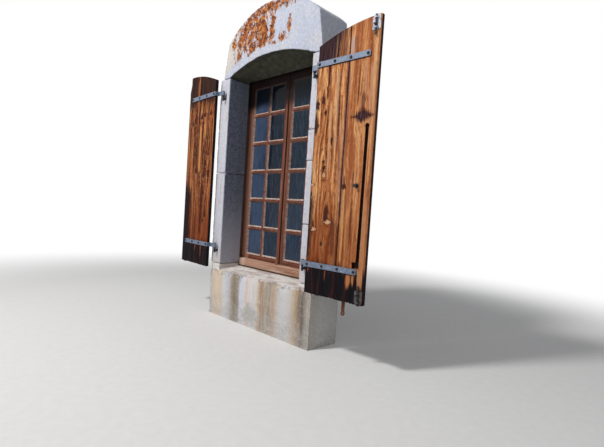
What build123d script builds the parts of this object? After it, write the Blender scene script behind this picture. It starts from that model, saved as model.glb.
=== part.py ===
from build123d import *
from math import atan, cos, degrees, radians, sin, sqrt
import os

# Window of an old stone house: a dressed stone surround, a timber frame with two glazed casements
# that open inward, and two board shutters on strap hinges that swing out and fold back beside it.
# X runs along the facade, Y goes into the wall from the facade plane, Z goes up from the foot of
# the sill block. Lengths are in millimetres. Side -1 is the left of the window and side 1 the right.

# Stone surround
opening_width = 1000.0
opening_height = 1665.0  # sill level to the spring of the arch
arch_rise = 102.0
reveal_depth = 215.0  # facade to the timber frame
jamb_width = 140.0
sill_block_height = 440.0  # foot of the block to the sill level at the timber
sill_fall = 34.0  # slope of the sill from the timber to the facade
seat_rise = 20.0  # the jambs stand on seats above sill level
left_bed_joints = (830.0,)
right_bed_joints = (446.0, 900.0, 1123.0)
lintel_inset = 40.0  # the lintel ends inside the jambs' outer faces
shoulder_inset = 55.0
shoulder_height = 300.0  # spring of the arch to the lintel's shoulders
lintel_crown = 418.0  # stone above the crown of the arch
arch_band = 48.0  # level part of the soffit, where the closed shutters stand
soffit_lift = 7.0  # rear edge of the soffit above the spring
stone_arris = 5.0
joint_arris = 2.0
cut_over = 1.0  # cuts run this far past the faces
chip_size = 26.0

# Timber frame
frame_setback = 20.0  # the frame's edge stands back from the reveal
post_width = 52.0
lip_overlap = 12.0  # rebate that the casements close against
lip_depth = 40.0
sill_rail_height = 62.0
sill_lip = 8.0
sill_rail_bevel = 12.0
head_height = 54.0
head_clearance = 15.0  # spring of the arch to the head's lip

# Casements
leaf_depth = 42.0
leaf_play = 4.0
stop_play = 3.0
meeting_gap = 0.8  # between the leaves at their inner faces
meeting_splay = 2.6  # each leaf's edge leans away from the other towards the outer face
outer_stile_width = 75.0
meeting_stile_width = 55.6
top_rail_height = 79.0
bottom_rail_height = 56.0
bar_width = 42.0
bar_depth = 21.0
pane_columns = 2
pane_rows = 6
rebate_width = 13.0
rebate_depth = 17.0
glass_thickness = 3.0
glass_play = 2.0
putty_lip = 1.5

# Casement hinges
knuckle_radius = 6.0
knuckle_height = 35.0
knuckle_play = 0.5
hinge_pin_radius = 3.0
hinge_plate_width = 34.0
hinge_plate_thickness = 3.0
hinge_inset = 210.0  # leaf end to the outer hinges
hinge_count = 3

# Casement bolt: a knob drives one rod up and one rod down
rod_radius = 6.0
rod_travel = 16.0
rod_height = 12.0  # leaf face to the rod's axis
rod_end_gap = 6.0  # drawn rod to its keep
rod_overreach = 2.0  # drawn rod past the edge of the frame's rebate
keep_height = 24.0
case_width = 40.0
case_height = 120.0
case_depth = 26.0
case_wall = 3.0
case_level = 780.0  # above sill level
knob_neck = 18.0
knob_thickness = 14.0
knob_length = 56.0
knob_width = 22.0
spindle_radius = 6.0
guide_height = 18.0
guide_width = 26.0
guide_reach = 21.0

# Shutters
board_thickness = 28.0
board_back = 13.0  # hinge axis to the back of the boards
hinge_offset = 56.0  # hinge axis outside the opening's edge
hinge_standoff = 24.0  # hinge axis in front of the facade
board_edge = 68.0  # hinge axis to the first board
centre_play = 2.5
first_board_width = 262.0
board_joint = 2.0
tongue_size = 8.0
groove_play = 0.5
board_arris = 1.5
arch_play = 14.0
shutter_drop = 20.0  # below sill level
left_rest_angle = 3.2  # the folded leaf leans back to the wall
right_rest_angle = 2.2

# Strap hinges and pintles
strap_width = 36.0
strap_thickness = 6.0
strap_end = 62.0  # strap end to the free edge
crank_gap = 2.0
upper_strap_level = 1532.0  # above sill level
lower_strap_level = 181.0
eye_radius = 14.0
pin_radius = 8.0
pin_play = 0.08
eye_play = 0.3
collar_radius = 12.0
collar_height = 8.0
shank_size = 18.0
shank_drop = 46.0  # eye's middle to the shank's axis
shank_depth = 90.0
strap_bolts = 4
bolt_inset = 17.0
bolt_radius = 4.0
bolt_play = 0.08
bolt_head_size = 17.0
bolt_head_height = 4.0
nut_size = 15.0
nut_height = 6.0
bolt_end = 3.0  # bolt past its nut

# Fittings of the shutters
slide_bolt_inset = 34.0  # rod's axis to the free edge
slide_plate_width = 58.0
slide_plate_thickness = 3.0
slide_plate_over = 5.0  # rounded end past the board's end
slide_rod_radius = 6.0
slide_rod_gap = 1.0  # rod to its back plate
slide_rod_tail = 42.0  # rod past the inner staple
slide_travel = 30.0
grip_radius = 4.2
grip_play = 6.0
staple_width = 36.0
staple_height = 10.0
staple_wall = 3.0
staple_inset = 18.0  # board's end to the first staple
socket_play = 2.0
pull_inset = 102.0  # pull's axis to the free edge
pull_level = 719.0
pull_radius = 15.0
pull_reach = 26.0
pull_rose = 3.0
tail_inset = 166.0  # iron tail's axis to the free edge
tail_width = 24.0
tail_thickness = 5.0
tail_drop = 82.0
tail_hold = 70.0
catch_width = 62.0
catch_reach = 18.0  # past the left shutter's free edge
catch_thickness = 4.5
catch_play = 0.5
lower_catch_level = 14.0
lower_catch_height = 92.0
middle_catch_level = 698.0
middle_catch_height = 48.0

# Damage to the shutters
split_inset = 54.0  # open split's middle to the free edge
split_width = 25.0
split_top = 1104.0  # above sill level
split_bottom = 243.0
split_drift = 5.0  # the split's foot lies nearer the hinge
split_floor = 7.0  # thickness of the layer that still holds behind the split
notch_width = 56.0
notch_height = 38.0
corner_loss_width = 34.0
corner_loss_height = 165.0
corner_loss_depth = 12.0

# Places that follow from the sizes
half_opening = opening_width / 2
jamb_outer = half_opening + jamb_width
sill_level = sill_block_height
spring_level = sill_level + opening_height
arch_radius = (half_opening**2 + arch_rise**2) / (2 * arch_rise)
arch_centre = spring_level + arch_rise - arch_radius
seat_level = sill_level + seat_rise
lip_edge = half_opening + frame_setback
post_edge = lip_edge + lip_overlap
post_outer = lip_edge + post_width
frame_depth = lip_depth + stop_play + leaf_depth
surround_depth = reveal_depth + frame_depth
head_level = spring_level + head_clearance
leaf_outer = post_edge - leaf_play
leaf_meeting = meeting_gap / 2
leaf_front = reveal_depth + lip_depth + stop_play
leaf_back = surround_depth
leaf_bottom = sill_level + sill_rail_height + leaf_play
leaf_top = head_level + lip_overlap - leaf_play
glass_back = leaf_front + rebate_depth
axis_x = half_opening + hinge_offset
free_edge = axis_x - centre_play
board_front = board_back + board_thickness
tongue_v = board_back + (board_thickness - tongue_size) / 2
board_bottom = sill_level - shutter_drop
slide_u = free_edge - slide_bolt_inset
slide_v = board_front + slide_plate_thickness + slide_rod_gap + slide_rod_radius
staple_pitch = slide_travel + 2 * (grip_radius + grip_play) + staple_height
slide_plate_length = slide_plate_over + staple_inset + staple_pitch + staple_height
slide_rod_length = staple_inset + staple_pitch + slide_rod_tail
rest_angle = {-1: left_rest_angle, 1: right_rest_angle}
side_name = {-1: "left", 1: "right"}

os.makedirs("parts", exist_ok=True)


def save(piece, name):
    piece.part.label = name
    export_step(piece.part, f"parts/{name}.step")


def front_plane(y):
    """Upright plane at depth y: local x is X, local y is Z, and a negative amount goes into the wall."""
    return Plane.XZ.offset(-y)


def leaf_dir(side):
    turn = radians(side * rest_angle[side])
    return (cos(turn), sin(turn), 0)


def leaf_plane(side, v):
    """Upright plane of a folded shutter, v in front of its hinge axis: local x is side times the distance u."""
    turn = radians(side * rest_angle[side])
    origin = (side * axis_x, -hinge_standoff, 0)
    return Plane(origin=origin, x_dir=leaf_dir(side), z_dir=(sin(turn), -cos(turn), 0)).offset(v)


def leaf_floor(side, z):
    """Level plane of a folded shutter: local x is side times u, and local y is minus v."""
    return Plane(origin=(side * axis_x, -hinge_standoff, z), x_dir=leaf_dir(side), z_dir=(0, 0, 1))


def arch_height(x, radius):
    """Level of an arch of the given radius about the opening's arch centre, at x."""
    return arch_centre + sqrt(radius**2 - x**2)


# Stone surround
def sill_block():
    seat_top = seat_level + cut_over
    sill_front = sill_level - sill_fall
    with BuildPart() as block:
        with BuildSketch(Plane.XY):
            with Locations((0, surround_depth / 2)):
                Rectangle(2 * jamb_outer, surround_depth)
        extrude(amount=seat_level)
        with BuildSketch(Plane.YZ.offset(-half_opening)):
            with BuildLine():
                Polyline(
                    (-cut_over, seat_top),
                    (-cut_over, sill_front - cut_over * sill_fall / reveal_depth),
                    (reveal_depth, sill_level),
                    (surround_depth + cut_over, sill_level),
                    (surround_depth + cut_over, seat_top),
                    close=True,
                )
            make_face()
        extrude(amount=opening_width, mode=Mode.SUBTRACT)
        with BuildSketch(Plane.XY.offset(sill_level)):
            with Locations((0, reveal_depth + frame_depth / 2)):
                Rectangle(2 * post_outer, frame_depth)
        extrude(amount=seat_rise, mode=Mode.SUBTRACT)
        nose = block.edges().filter_by(Axis.X).filter_by_position(Axis.Y, -0.1, 0.1)
        fillet(nose.filter_by_position(Axis.Z, sill_front - cut_over, sill_front + cut_over), 2 * stone_arris)
        with BuildSketch(Plane.XY.offset(board_bottom - slide_travel - socket_play)):
            with Locations(slide_socket()):
                Circle(slide_rod_radius + socket_play)
        extrude(amount=2 * slide_travel, mode=Mode.SUBTRACT)
    save(block, "sill_block")


def slide_socket():
    """Place of the sliding bolts' axis when the right shutter is closed."""
    return (axis_x - slide_u, slide_v - hinge_standoff)


def jamb_outline(side):
    points = (
        (half_opening, 0),
        (jamb_outer, 0),
        (jamb_outer, surround_depth),
        (post_outer, surround_depth),
        (post_outer, reveal_depth),
        (half_opening, reveal_depth),
    )
    return [(side * x, y) for x, y in points]


def jamb_stone(side, bottom, top, name, shank_level=None):
    with BuildPart() as stone:
        with BuildSketch(Plane.XY.offset(bottom)):
            with BuildLine():
                Polyline(*jamb_outline(side), close=True)
            make_face()
        extrude(amount=top - bottom)
        beds = stone.edges().group_by(Axis.Z)
        chamfer(beds[0] + beds[-1], joint_arris)
        front = stone.edges().filter_by(Axis.Z).filter_by_position(Axis.Y, -0.1, 0.1)
        fillet(front.sort_by(lambda edge: abs(edge.center().X))[0], stone_arris)
        if shank_level:
            with BuildSketch(front_plane(0)):
                with Locations((side * axis_x, shank_level)):
                    Rectangle(shank_size, shank_size)
            extrude(amount=hinge_standoff - shank_depth, mode=Mode.SUBTRACT)
        if side == -1:
            chip = bottom if bottom > seat_level else top
            with Locations(Location((side * half_opening, 0, chip), (0, 0, 45))):
                Box(chip_size, chip_size, chip_size, rotation=(25, 35, 0), mode=Mode.SUBTRACT)
    save(stone, name)


def jambs():
    for side, joints in ((-1, left_bed_joints), (1, right_bed_joints)):
        levels = [seat_level] + [sill_level + joint for joint in joints] + [spring_level]
        shanks = [sill_level + level - shank_drop for level in (lower_strap_level, upper_strap_level)]
        for number, (bottom, top) in enumerate(zip(levels, levels[1:]), start=1):
            shank = next((level for level in shanks if bottom < level < top), None)
            jamb_stone(side, bottom, top, f"{side_name[side]}_jamb_stone_{number}", shank)


def arch_lintel():
    lintel_half = jamb_outer - lintel_inset
    shoulder = lintel_half - shoulder_inset
    shoulder_level = spring_level + shoulder_height
    crown = spring_level + arch_rise
    with BuildPart() as lintel:
        with BuildSketch(front_plane(0)):
            with BuildLine():
                sides = Polyline(
                    (-shoulder, shoulder_level),
                    (-lintel_half, spring_level),
                    (lintel_half, spring_level),
                    (shoulder, shoulder_level),
                )
                ThreePointArc(sides @ 1, (0, crown + lintel_crown), sides @ 0)
            make_face()
        extrude(amount=-surround_depth)
        front = arch_face(arch_band, arch_rise, spring_level)
        rear = arch_face(reveal_depth, soffit_lift / 2, spring_level + soffit_lift / 2)
        extrude(front, amount=arch_band, mode=Mode.SUBTRACT)
        loft([front, rear], ruled=True, mode=Mode.SUBTRACT)
        with BuildSketch(Plane.XY.offset(spring_level)):
            with Locations((0, reveal_depth + frame_depth / 2)):
                Rectangle(2 * post_outer, frame_depth)
        extrude(amount=head_level + head_height - spring_level, mode=Mode.SUBTRACT)
        rim = lintel.edges().filter_by(GeomType.CIRCLE).filter_by_position(Axis.Y, -0.1, 0.1)
        fillet(rim.sort_by(Axis.Z)[0], stone_arris)
        with BuildSketch(Plane.XY.offset(spring_level)):
            with Locations(slide_socket()):
                Circle(slide_rod_radius + socket_play)
        extrude(amount=arch_rise + slide_travel + 2 * socket_play, mode=Mode.SUBTRACT)
    save(lintel, "arch_lintel")


def arch_face(y, rise, level):
    """Face under an arc over the opening, with straight sides down to a chord below the spring."""
    with BuildSketch(front_plane(y)) as face:
        with BuildLine():
            ThreePointArc((-half_opening, level), (0, level + rise), (half_opening, level))
            Polyline(
                (half_opening, level),
                (half_opening, spring_level - cut_over),
                (-half_opening, spring_level - cut_over),
                (-half_opening, level),
            )
        make_face()
    return face.sketch


# Timber frame
def frame_post(side):
    points = (
        (lip_edge, reveal_depth),
        (post_outer, reveal_depth),
        (post_outer, surround_depth),
        (post_edge, surround_depth),
        (post_edge, reveal_depth + lip_depth),
        (lip_edge, reveal_depth + lip_depth),
    )
    bottom = sill_level + sill_rail_height + sill_lip
    with BuildPart() as post:
        with BuildSketch(Plane.XY.offset(bottom)):
            with BuildLine():
                Polyline(*[(side * x, y) for x, y in points], close=True)
            make_face()
        extrude(amount=head_level - bottom)
    save(post, f"frame_{side_name[side]}_post")


def rebated_beam(bottom, height, cut_bottom, cut_height, name):
    """Beam across the window, with a rebate behind its lip between the posts."""
    with BuildPart() as beam:
        with BuildSketch(Plane.XY.offset(bottom)):
            with Locations((0, reveal_depth + frame_depth / 2)):
                Rectangle(2 * post_outer, frame_depth)
        extrude(amount=height)
        with BuildSketch(Plane.XY.offset(cut_bottom)):
            with Locations((0, reveal_depth + lip_depth + frame_depth / 2)):
                Rectangle(2 * post_edge, frame_depth)
        extrude(amount=cut_height, mode=Mode.SUBTRACT)
        if bottom < cut_bottom:
            nose = beam.edges().filter_by(Axis.X).filter_by_position(Axis.Y, reveal_depth - 0.1, reveal_depth + 0.1)
            chamfer(nose.sort_by(Axis.Z)[-1], sill_lip, sill_rail_bevel)
    save(beam, name)


def timber_frame():
    for side in (-1, 1):
        frame_post(side)
    rebated_beam(sill_level, sill_rail_height + sill_lip, sill_level + sill_rail_height, sill_lip, "frame_sill_rail")
    rebated_beam(head_level, head_height, head_level, lip_overlap, "frame_head")


# Casements
def glass_field():
    """Sight width and height of one pane, and the middle of the glazed field of the right leaf."""
    left = leaf_meeting + meeting_stile_width
    right = leaf_outer - outer_stile_width
    bottom = leaf_bottom + bottom_rail_height
    top = leaf_top - top_rail_height
    width = (right - left - (pane_columns - 1) * bar_width) / pane_columns
    height = (top - bottom - (pane_rows - 1) * bar_width) / pane_rows
    return width, height, ((left + right) / 2, (bottom + top) / 2)


def pane_places(side):
    width, height, (x, z) = glass_field()
    with Locations((side * x, z)):
        return GridLocations(width + bar_width, height + bar_width, pane_columns, pane_rows).locations


def stile(side, inner, outer, glass_side, name, splay=0):
    """Upright of a leaf, rebated along the glass on the side of glass_side; splay narrows its outer face."""
    width, height, (x, z) = glass_field()
    field = pane_rows * (height + bar_width) - bar_width + 2 * rebate_width
    edge = inner if glass_side < 0 else outer
    with BuildPart() as upright:
        with BuildSketch(Plane.XY.offset(leaf_bottom)):
            with BuildLine():
                Polyline(
                    (side * (inner + splay), leaf_front),
                    (side * outer, leaf_front),
                    (side * outer, leaf_back),
                    (side * inner, leaf_back),
                    close=True,
                )
            make_face()
        extrude(amount=leaf_top - leaf_bottom)
        with BuildSketch(front_plane(leaf_front)):
            with Locations((side * edge, z)):
                Rectangle(2 * rebate_width, field)
        extrude(amount=-rebate_depth, mode=Mode.SUBTRACT)
    save(upright, name)


def rail(side, bottom, top, glass_edge, name):
    left = leaf_meeting + meeting_stile_width
    right = leaf_outer - outer_stile_width
    with BuildPart() as beam:
        with BuildSketch(Plane.XY.offset(bottom)):
            with Locations((side * (left + right) / 2, (leaf_front + leaf_back) / 2)):
                Rectangle(right - left, leaf_back - leaf_front)
        extrude(amount=top - bottom)
        with BuildSketch(front_plane(leaf_front)):
            with Locations((side * (left + right) / 2, glass_edge)):
                Rectangle(right - left, 2 * rebate_width)
        extrude(amount=-rebate_depth, mode=Mode.SUBTRACT)
    save(beam, name)


def glazing_bars(side, name):
    """One upright bar crossed by the level bars, each with a narrow tongue between the panes."""
    width, height, (x, z) = glass_field()
    field_width = pane_columns * (width + bar_width) - bar_width
    field_height = pane_rows * (height + bar_width) - bar_width
    layers = (
        (glass_back, bar_depth, bar_width, 0),
        (leaf_front, rebate_depth, bar_width - 2 * rebate_width, rebate_width),
    )
    with BuildPart() as bars:
        for front, depth, thickness, reach in layers:
            with BuildSketch(front_plane(front)):
                with Locations((side * x, z)):
                    with GridLocations(width + bar_width, 1, pane_columns - 1, 1):
                        Rectangle(thickness, field_height + 2 * reach)
                    with GridLocations(1, height + bar_width, 1, pane_rows - 1):
                        Rectangle(field_width + 2 * reach, thickness)
            extrude(amount=-depth)
    save(bars, name)


def panes(side, name):
    width, height, middle = glass_field()
    grip = 2 * (rebate_width - glass_play)
    with BuildPart() as glass:
        with BuildSketch(front_plane(glass_back - glass_thickness)):
            with Locations(*pane_places(side)):
                Rectangle(width + grip, height + grip)
        extrude(amount=-glass_thickness)
    save(glass, name)


def putty(side, name):
    """Sloped fillet of putty round each pane, from the bars' front edges down to the glass."""
    width, height, middle = glass_field()
    depth = rebate_depth - glass_thickness - putty_lip
    slope = degrees(atan((rebate_width - putty_lip) / depth))
    with BuildPart() as fillets:
        with BuildSketch(front_plane(leaf_front + putty_lip)):
            with Locations(*pane_places(side)):
                Rectangle(width + 2 * rebate_width, height + 2 * rebate_width)
        extrude(amount=-depth)
        with BuildSketch(front_plane(leaf_front + putty_lip)):
            with Locations(*pane_places(side)):
                Rectangle(width + 2 * (rebate_width - putty_lip), height + 2 * (rebate_width - putty_lip))
        extrude(amount=-depth, taper=slope, mode=Mode.SUBTRACT)
    save(fillets, name)


def hinge_levels():
    """Levels of the play between the two knuckles of each casement hinge."""
    first = leaf_bottom + hinge_inset
    pitch = (leaf_top - leaf_bottom - 2 * hinge_inset) / (hinge_count - 1)
    return [first + number * pitch for number in range(hinge_count)]


def casement_axis(side):
    return (side * post_edge, leaf_back + knuckle_radius)


def fixed_hinge_halves():
    """Lower knuckles with their pins, on plates that are screwed to the posts."""
    with BuildPart() as halves:
        for side in (-1, 1):
            x, y = casement_axis(side)
            for level in hinge_levels():
                with BuildSketch(Plane.XY.offset(level - knuckle_height)):
                    with Locations((x, y)):
                        Circle(knuckle_radius)
                    with Locations((x + side * hinge_plate_width / 2, leaf_back + hinge_plate_thickness / 2)):
                        Rectangle(hinge_plate_width, hinge_plate_thickness)
                extrude(amount=knuckle_height)
                with BuildSketch(Plane.XY.offset(level)):
                    with Locations((x, y)):
                        Circle(hinge_pin_radius)
                extrude(amount=knuckle_height)
    save(halves, "casement_hinge_pins")


def leaf_hinge_halves(side, name):
    """Upper knuckles that turn on the pins, on plates that are screwed to the leaf."""
    x, y = casement_axis(side)
    reach = leaf_play + hinge_plate_width
    with BuildPart() as halves:
        for level in hinge_levels():
            with BuildSketch(Plane.XY.offset(level + knuckle_play)):
                with Locations((x, y)):
                    Circle(knuckle_radius)
                with Locations((x - side * reach / 2, leaf_back + hinge_plate_thickness / 2)):
                    Rectangle(reach, hinge_plate_thickness)
                with Locations((x, y)):
                    Circle(hinge_pin_radius + pin_play, mode=Mode.SUBTRACT)
            extrude(amount=knuckle_height)
    save(halves, name)


def casement(side):
    leaf = f"{side_name[side]}_casement"
    bottom_edge = leaf_bottom + bottom_rail_height
    top_edge = leaf_top - top_rail_height
    stile(side, leaf_outer - outer_stile_width, leaf_outer, -1, f"{leaf}_outer_stile")
    glass_side_edge = leaf_meeting + meeting_stile_width
    stile(side, leaf_meeting, glass_side_edge, 1, f"{leaf}_meeting_stile", meeting_splay)
    rail(side, leaf_bottom, bottom_edge, bottom_edge, f"{leaf}_bottom_rail")
    rail(side, top_edge, leaf_top, top_edge, f"{leaf}_top_rail")
    glazing_bars(side, f"{leaf}_glazing_bars")
    panes(side, f"{leaf}_panes")
    putty(side, f"{leaf}_putty")
    leaf_hinge_halves(side, f"{leaf}_hinge_leaves")


# Casement bolt
rod_x = -(leaf_meeting + meeting_stile_width / 2)
rod_y = leaf_back + rod_height
case_middle = sill_level + case_level
upper_tip = head_level + lip_overlap + rod_overreach
lower_tip = sill_level + sill_rail_height - rod_overreach


def bolt_case():
    """Cast case, open to the stile, with holes for the rods and the knob's spindle."""
    with BuildPart() as case:
        with BuildSketch(front_plane(leaf_back)):
            with Locations((rod_x, case_middle)):
                RectangleRounded(case_width, case_height, case_width / 4)
        extrude(amount=-case_depth)
        with BuildSketch(front_plane(leaf_back)):
            with Locations((rod_x, case_middle)):
                Rectangle(case_width - 2 * case_wall - 6, case_height - 2 * case_wall - 6)
        extrude(amount=case_wall - case_depth, mode=Mode.SUBTRACT)
        with BuildSketch(Plane.XY.offset(case_middle - case_height)):
            with Locations((rod_x, rod_y)):
                Circle(rod_radius + pin_play)
        extrude(amount=2 * case_height, mode=Mode.SUBTRACT)
        with BuildSketch(front_plane(leaf_back + case_depth / 2)):
            with Locations((rod_x, case_middle)):
                Circle(spindle_radius + pin_play)
        extrude(amount=-case_depth, mode=Mode.SUBTRACT)
    save(case, "cremone_case")


def bolt_knob():
    """Turning knob, a flat oval on a round spindle that reaches into the case."""
    face = leaf_back + case_depth
    with BuildPart() as knob:
        with BuildSketch(front_plane(face - case_wall - 2)):
            with Locations((rod_x, case_middle)):
                Circle(spindle_radius)
        extrude(amount=-(case_wall + 2 + knob_neck))
        with BuildSketch(front_plane(face + 1)):
            with Locations((rod_x, case_middle)):
                Circle(spindle_radius * 1.8)
        extrude(amount=-3)
        with BuildSketch(front_plane(face + knob_neck)):
            with Locations((rod_x, case_middle)):
                SlotOverall(knob_length, knob_width)
        extrude(amount=-knob_thickness)
        chamfer(knob.faces().sort_by(Axis.Y)[-1].edges(), knob_thickness / 4)
    save(knob, "cremone_knob")


def bolt_rod(start, end, name):
    with BuildPart() as rod:
        with BuildSketch(Plane.XY.offset(start)):
            with Locations((rod_x, rod_y)):
                Circle(rod_radius)
        extrude(amount=end - start)
        tip = rod.edges().group_by(Axis.Z)[-1 if name == "cremone_upper_rod" else 0]
        chamfer(tip, 1.5)
    save(rod, name)


def rod_block(level):
    """Outline of a block with a bore for a rod, standing on the leaf's or the frame's face."""
    with BuildSketch(Plane.XY.offset(level)) as face:
        with Locations((rod_x, leaf_back + guide_reach / 2)):
            Rectangle(guide_width, guide_reach)
        with Locations((rod_x, rod_y)):
            Circle(rod_radius + pin_play, mode=Mode.SUBTRACT)
    return face.sketch


def bolt_guides():
    lower_middle = (leaf_bottom + case_middle) / 2
    upper_middle = (leaf_top + case_middle) / 2
    with BuildPart() as guides:
        for level in (leaf_bottom + guide_height, lower_middle, upper_middle, leaf_top - 2 * guide_height):
            extrude(rod_block(level), amount=guide_height)
    save(guides, "cremone_guides")


def bolt_keeps():
    with BuildPart() as keeps:
        extrude(rod_block(upper_tip + rod_end_gap), amount=keep_height)
        extrude(rod_block(lower_tip - rod_end_gap - keep_height), amount=keep_height)
    save(keeps, "cremone_keeps")


def casement_bolt():
    clear = rod_travel + spindle_radius + 2
    bolt_case()
    bolt_knob()
    bolt_rod(case_middle + clear - rod_travel, upper_tip, "cremone_upper_rod")
    bolt_rod(lower_tip, case_middle - clear + rod_travel, "cremone_lower_rod")
    bolt_guides()
    bolt_keeps()


# Shutter boards
def strap_levels():
    return [sill_level + upper_strap_level, sill_level + lower_strap_level]


def strap_bolt_places():
    """Distances u of the bolts along a strap."""
    first = board_edge + bolt_inset
    last = free_edge - strap_end - bolt_inset
    return [first + number * (last - first) / (strap_bolts - 1) for number in range(strap_bolts)]


def board_face(side, near, far, v=board_back):
    """Face of a board from u = near to u = far, with its top cut to the arch."""
    height = spring_level + arch_rise - board_bottom
    with BuildSketch(leaf_plane(side, v)) as face:
        with Locations((side * (near + far) / 2, board_bottom + height / 2)):
            Rectangle(far - near, height)
        with Locations((side * axis_x, arch_centre)):
            Circle(arch_radius - arch_play, mode=Mode.INTERSECT)
    return face.sketch


def bolt_hole_faces(side, near, far, v):
    places = [u for u in strap_bolt_places() if near < u < far]
    with BuildSketch(leaf_plane(side, v)) as face:
        for level in strap_levels():
            with Locations(*[(side * u, level) for u in places]):
                Circle(bolt_radius + bolt_play)
    return face.sketch


def first_board(side):
    near = board_edge
    far = board_edge + first_board_width
    groove = board_face(side, far - tongue_size - groove_play, far, tongue_v)
    with BuildPart() as board:
        extrude(board_face(side, near, far), amount=board_thickness)
        chamfer(board.edges().filter_by(Axis.Z), board_arris)
        extrude(groove, amount=tongue_size, mode=Mode.SUBTRACT)
        extrude(bolt_hole_faces(side, near, far, board_back), amount=board_thickness, mode=Mode.SUBTRACT)
    save(board, f"{side_name[side]}_shutter_hinge_board")


def second_board(side):
    near = board_edge + first_board_width + board_joint
    far = free_edge
    tongue = board_face(side, near - board_joint - tongue_size, near, tongue_v)
    with BuildPart() as board:
        extrude(board_face(side, near, far), amount=board_thickness)
        chamfer(board.edges().filter_by(Axis.Z), board_arris)
        extrude(tongue, amount=tongue_size)
        extrude(bolt_hole_faces(side, near, far, board_back), amount=board_thickness, mode=Mode.SUBTRACT)
        if side == 1:
            extrude(split_face(side), amount=board_thickness - split_floor, mode=Mode.SUBTRACT)
        else:
            extrude(corner_face(side), amount=-corner_loss_depth, mode=Mode.SUBTRACT)
    save(board, f"{side_name[side]}_shutter_free_board")


def split_face(side):
    """Long split that has opened in the board, ending in a broken notch above the lower strap."""
    middle = free_edge - split_inset
    foot = middle - split_drift
    top = sill_level + split_top
    bottom = sill_level + split_bottom
    half = split_width / 2
    shoulder = top - split_width
    waist = bottom + split_width
    notch_left = foot + half - notch_width
    with BuildSketch(leaf_plane(side, board_back + split_floor)) as face:
        with BuildLine():
            left = Spline((foot - half, waist), (middle - half - 1, (top + bottom) / 2), (middle - half, shoulder))
            right = Spline((middle + half, shoulder), (middle + half - 3, (top + bottom) / 2), (foot + half, waist))
            ThreePointArc(left @ 1, (middle, top), right @ 0)
            Polyline(
                right @ 1,
                (foot + half, bottom - notch_height),
                (notch_left + 5, bottom - notch_height - 3),
                (notch_left, bottom - 4),
                (foot - half - 3, bottom),
                left @ 0,
            )
        make_face()
    return face.sketch


def corner_face(side):
    """Face of the board broken away along its free edge, under the top corner."""
    top = arch_height(axis_x - free_edge, arch_radius)
    with BuildSketch(leaf_plane(side, board_front)) as face:
        with BuildLine():
            Polyline(
                (side * free_edge, top),
                (side * (free_edge - corner_loss_width), top),
                (side * (free_edge - corner_loss_width + 4), top - 0.4 * corner_loss_height),
                (side * (free_edge - corner_loss_width / 3), top - 0.75 * corner_loss_height),
                (side * free_edge, top - corner_loss_height),
                close=True,
            )
        make_face()
    return face.sketch


# Strap hinges
def strap(side, level, name):
    """Forged strap: rolled eye, short flat part, crank up to the boards and long plate across them."""
    crank_far = board_edge - crank_gap
    crank_near = crank_far - strap_thickness
    plate_end = free_edge - strap_end
    plate_front = board_front + strap_thickness
    flat_back = eye_radius - strap_thickness
    outline = (
        (0, flat_back),
        (crank_far, flat_back),
        (crank_far, board_front),
        (plate_end, board_front),
        (plate_end, plate_front),
        (crank_near, plate_front),
        (crank_near, eye_radius),
        (0, eye_radius),
    )
    with BuildPart() as bar:
        with BuildSketch(leaf_floor(side, level - strap_width / 2)):
            with BuildLine():
                Polyline(*[(side * u, -v) for u, v in outline], close=True)
            make_face()
            Circle(eye_radius)
            Circle(pin_radius + pin_play, mode=Mode.SUBTRACT)
        extrude(amount=strap_width)
        corners = bar.edges().filter_by(lambda edge: abs(edge.length - strap_thickness) < 0.01)
        fillet(corners.filter_by(lambda edge: is_strap_end(edge, side, plate_end)), strap_width / 4)
        holes = bolt_hole_faces(side, board_edge, plate_end, board_front)
        extrude(holes, amount=strap_thickness, mode=Mode.SUBTRACT)
    save(bar, name)


def is_strap_end(edge, side, plate_end):
    """True for the short edges across the strap's far end."""
    local = leaf_plane(side, 0).to_local_coords(edge.center())
    return abs(abs(local.X) - plate_end) < 0.01


def strap_bolt_set(side, level, name):
    """Bolts through the boards and the strap, with square heads on the back and square nuts on the strap."""
    nut_face = board_front + strap_thickness
    places = [(side * u, level) for u in strap_bolt_places()]
    with BuildPart() as bolts:
        with BuildSketch(leaf_plane(side, board_back - bolt_head_height)):
            with Locations(*places):
                Rectangle(bolt_head_size, bolt_head_size)
        extrude(amount=bolt_head_height)
        with BuildSketch(leaf_plane(side, board_back)):
            with Locations(*places):
                Circle(bolt_radius)
        extrude(amount=nut_face + nut_height + bolt_end - board_back)
        with BuildSketch(leaf_plane(side, nut_face)):
            with Locations(*places):
                Rectangle(nut_size, nut_size)
        extrude(amount=nut_height)
    save(bolts, name)


def pintle(side, level, name):
    """Hinge pin with a collar under the strap's eye, on a square shank that is leaded into the jamb."""
    collar_top = level - strap_width / 2 - eye_play
    foot = level - shank_drop - shank_size
    with BuildPart() as pin:
        with BuildSketch(Plane.XY.offset(foot)):
            with Locations((side * axis_x, -hinge_standoff)):
                Circle(pin_radius)
        extrude(amount=level + strap_width / 2 + 4 - foot)
        chamfer(pin.edges().group_by(Axis.Z)[-1], 1.5)
        with BuildSketch(Plane.XY.offset(collar_top - collar_height)):
            with Locations((side * axis_x, -hinge_standoff)):
                Circle(collar_radius)
        extrude(amount=collar_height)
        with BuildSketch(front_plane(-hinge_standoff)):
            with Locations((side * axis_x, level - shank_drop)):
                Rectangle(shank_size, shank_size)
        extrude(amount=-shank_depth)
    save(pin, name)


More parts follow.
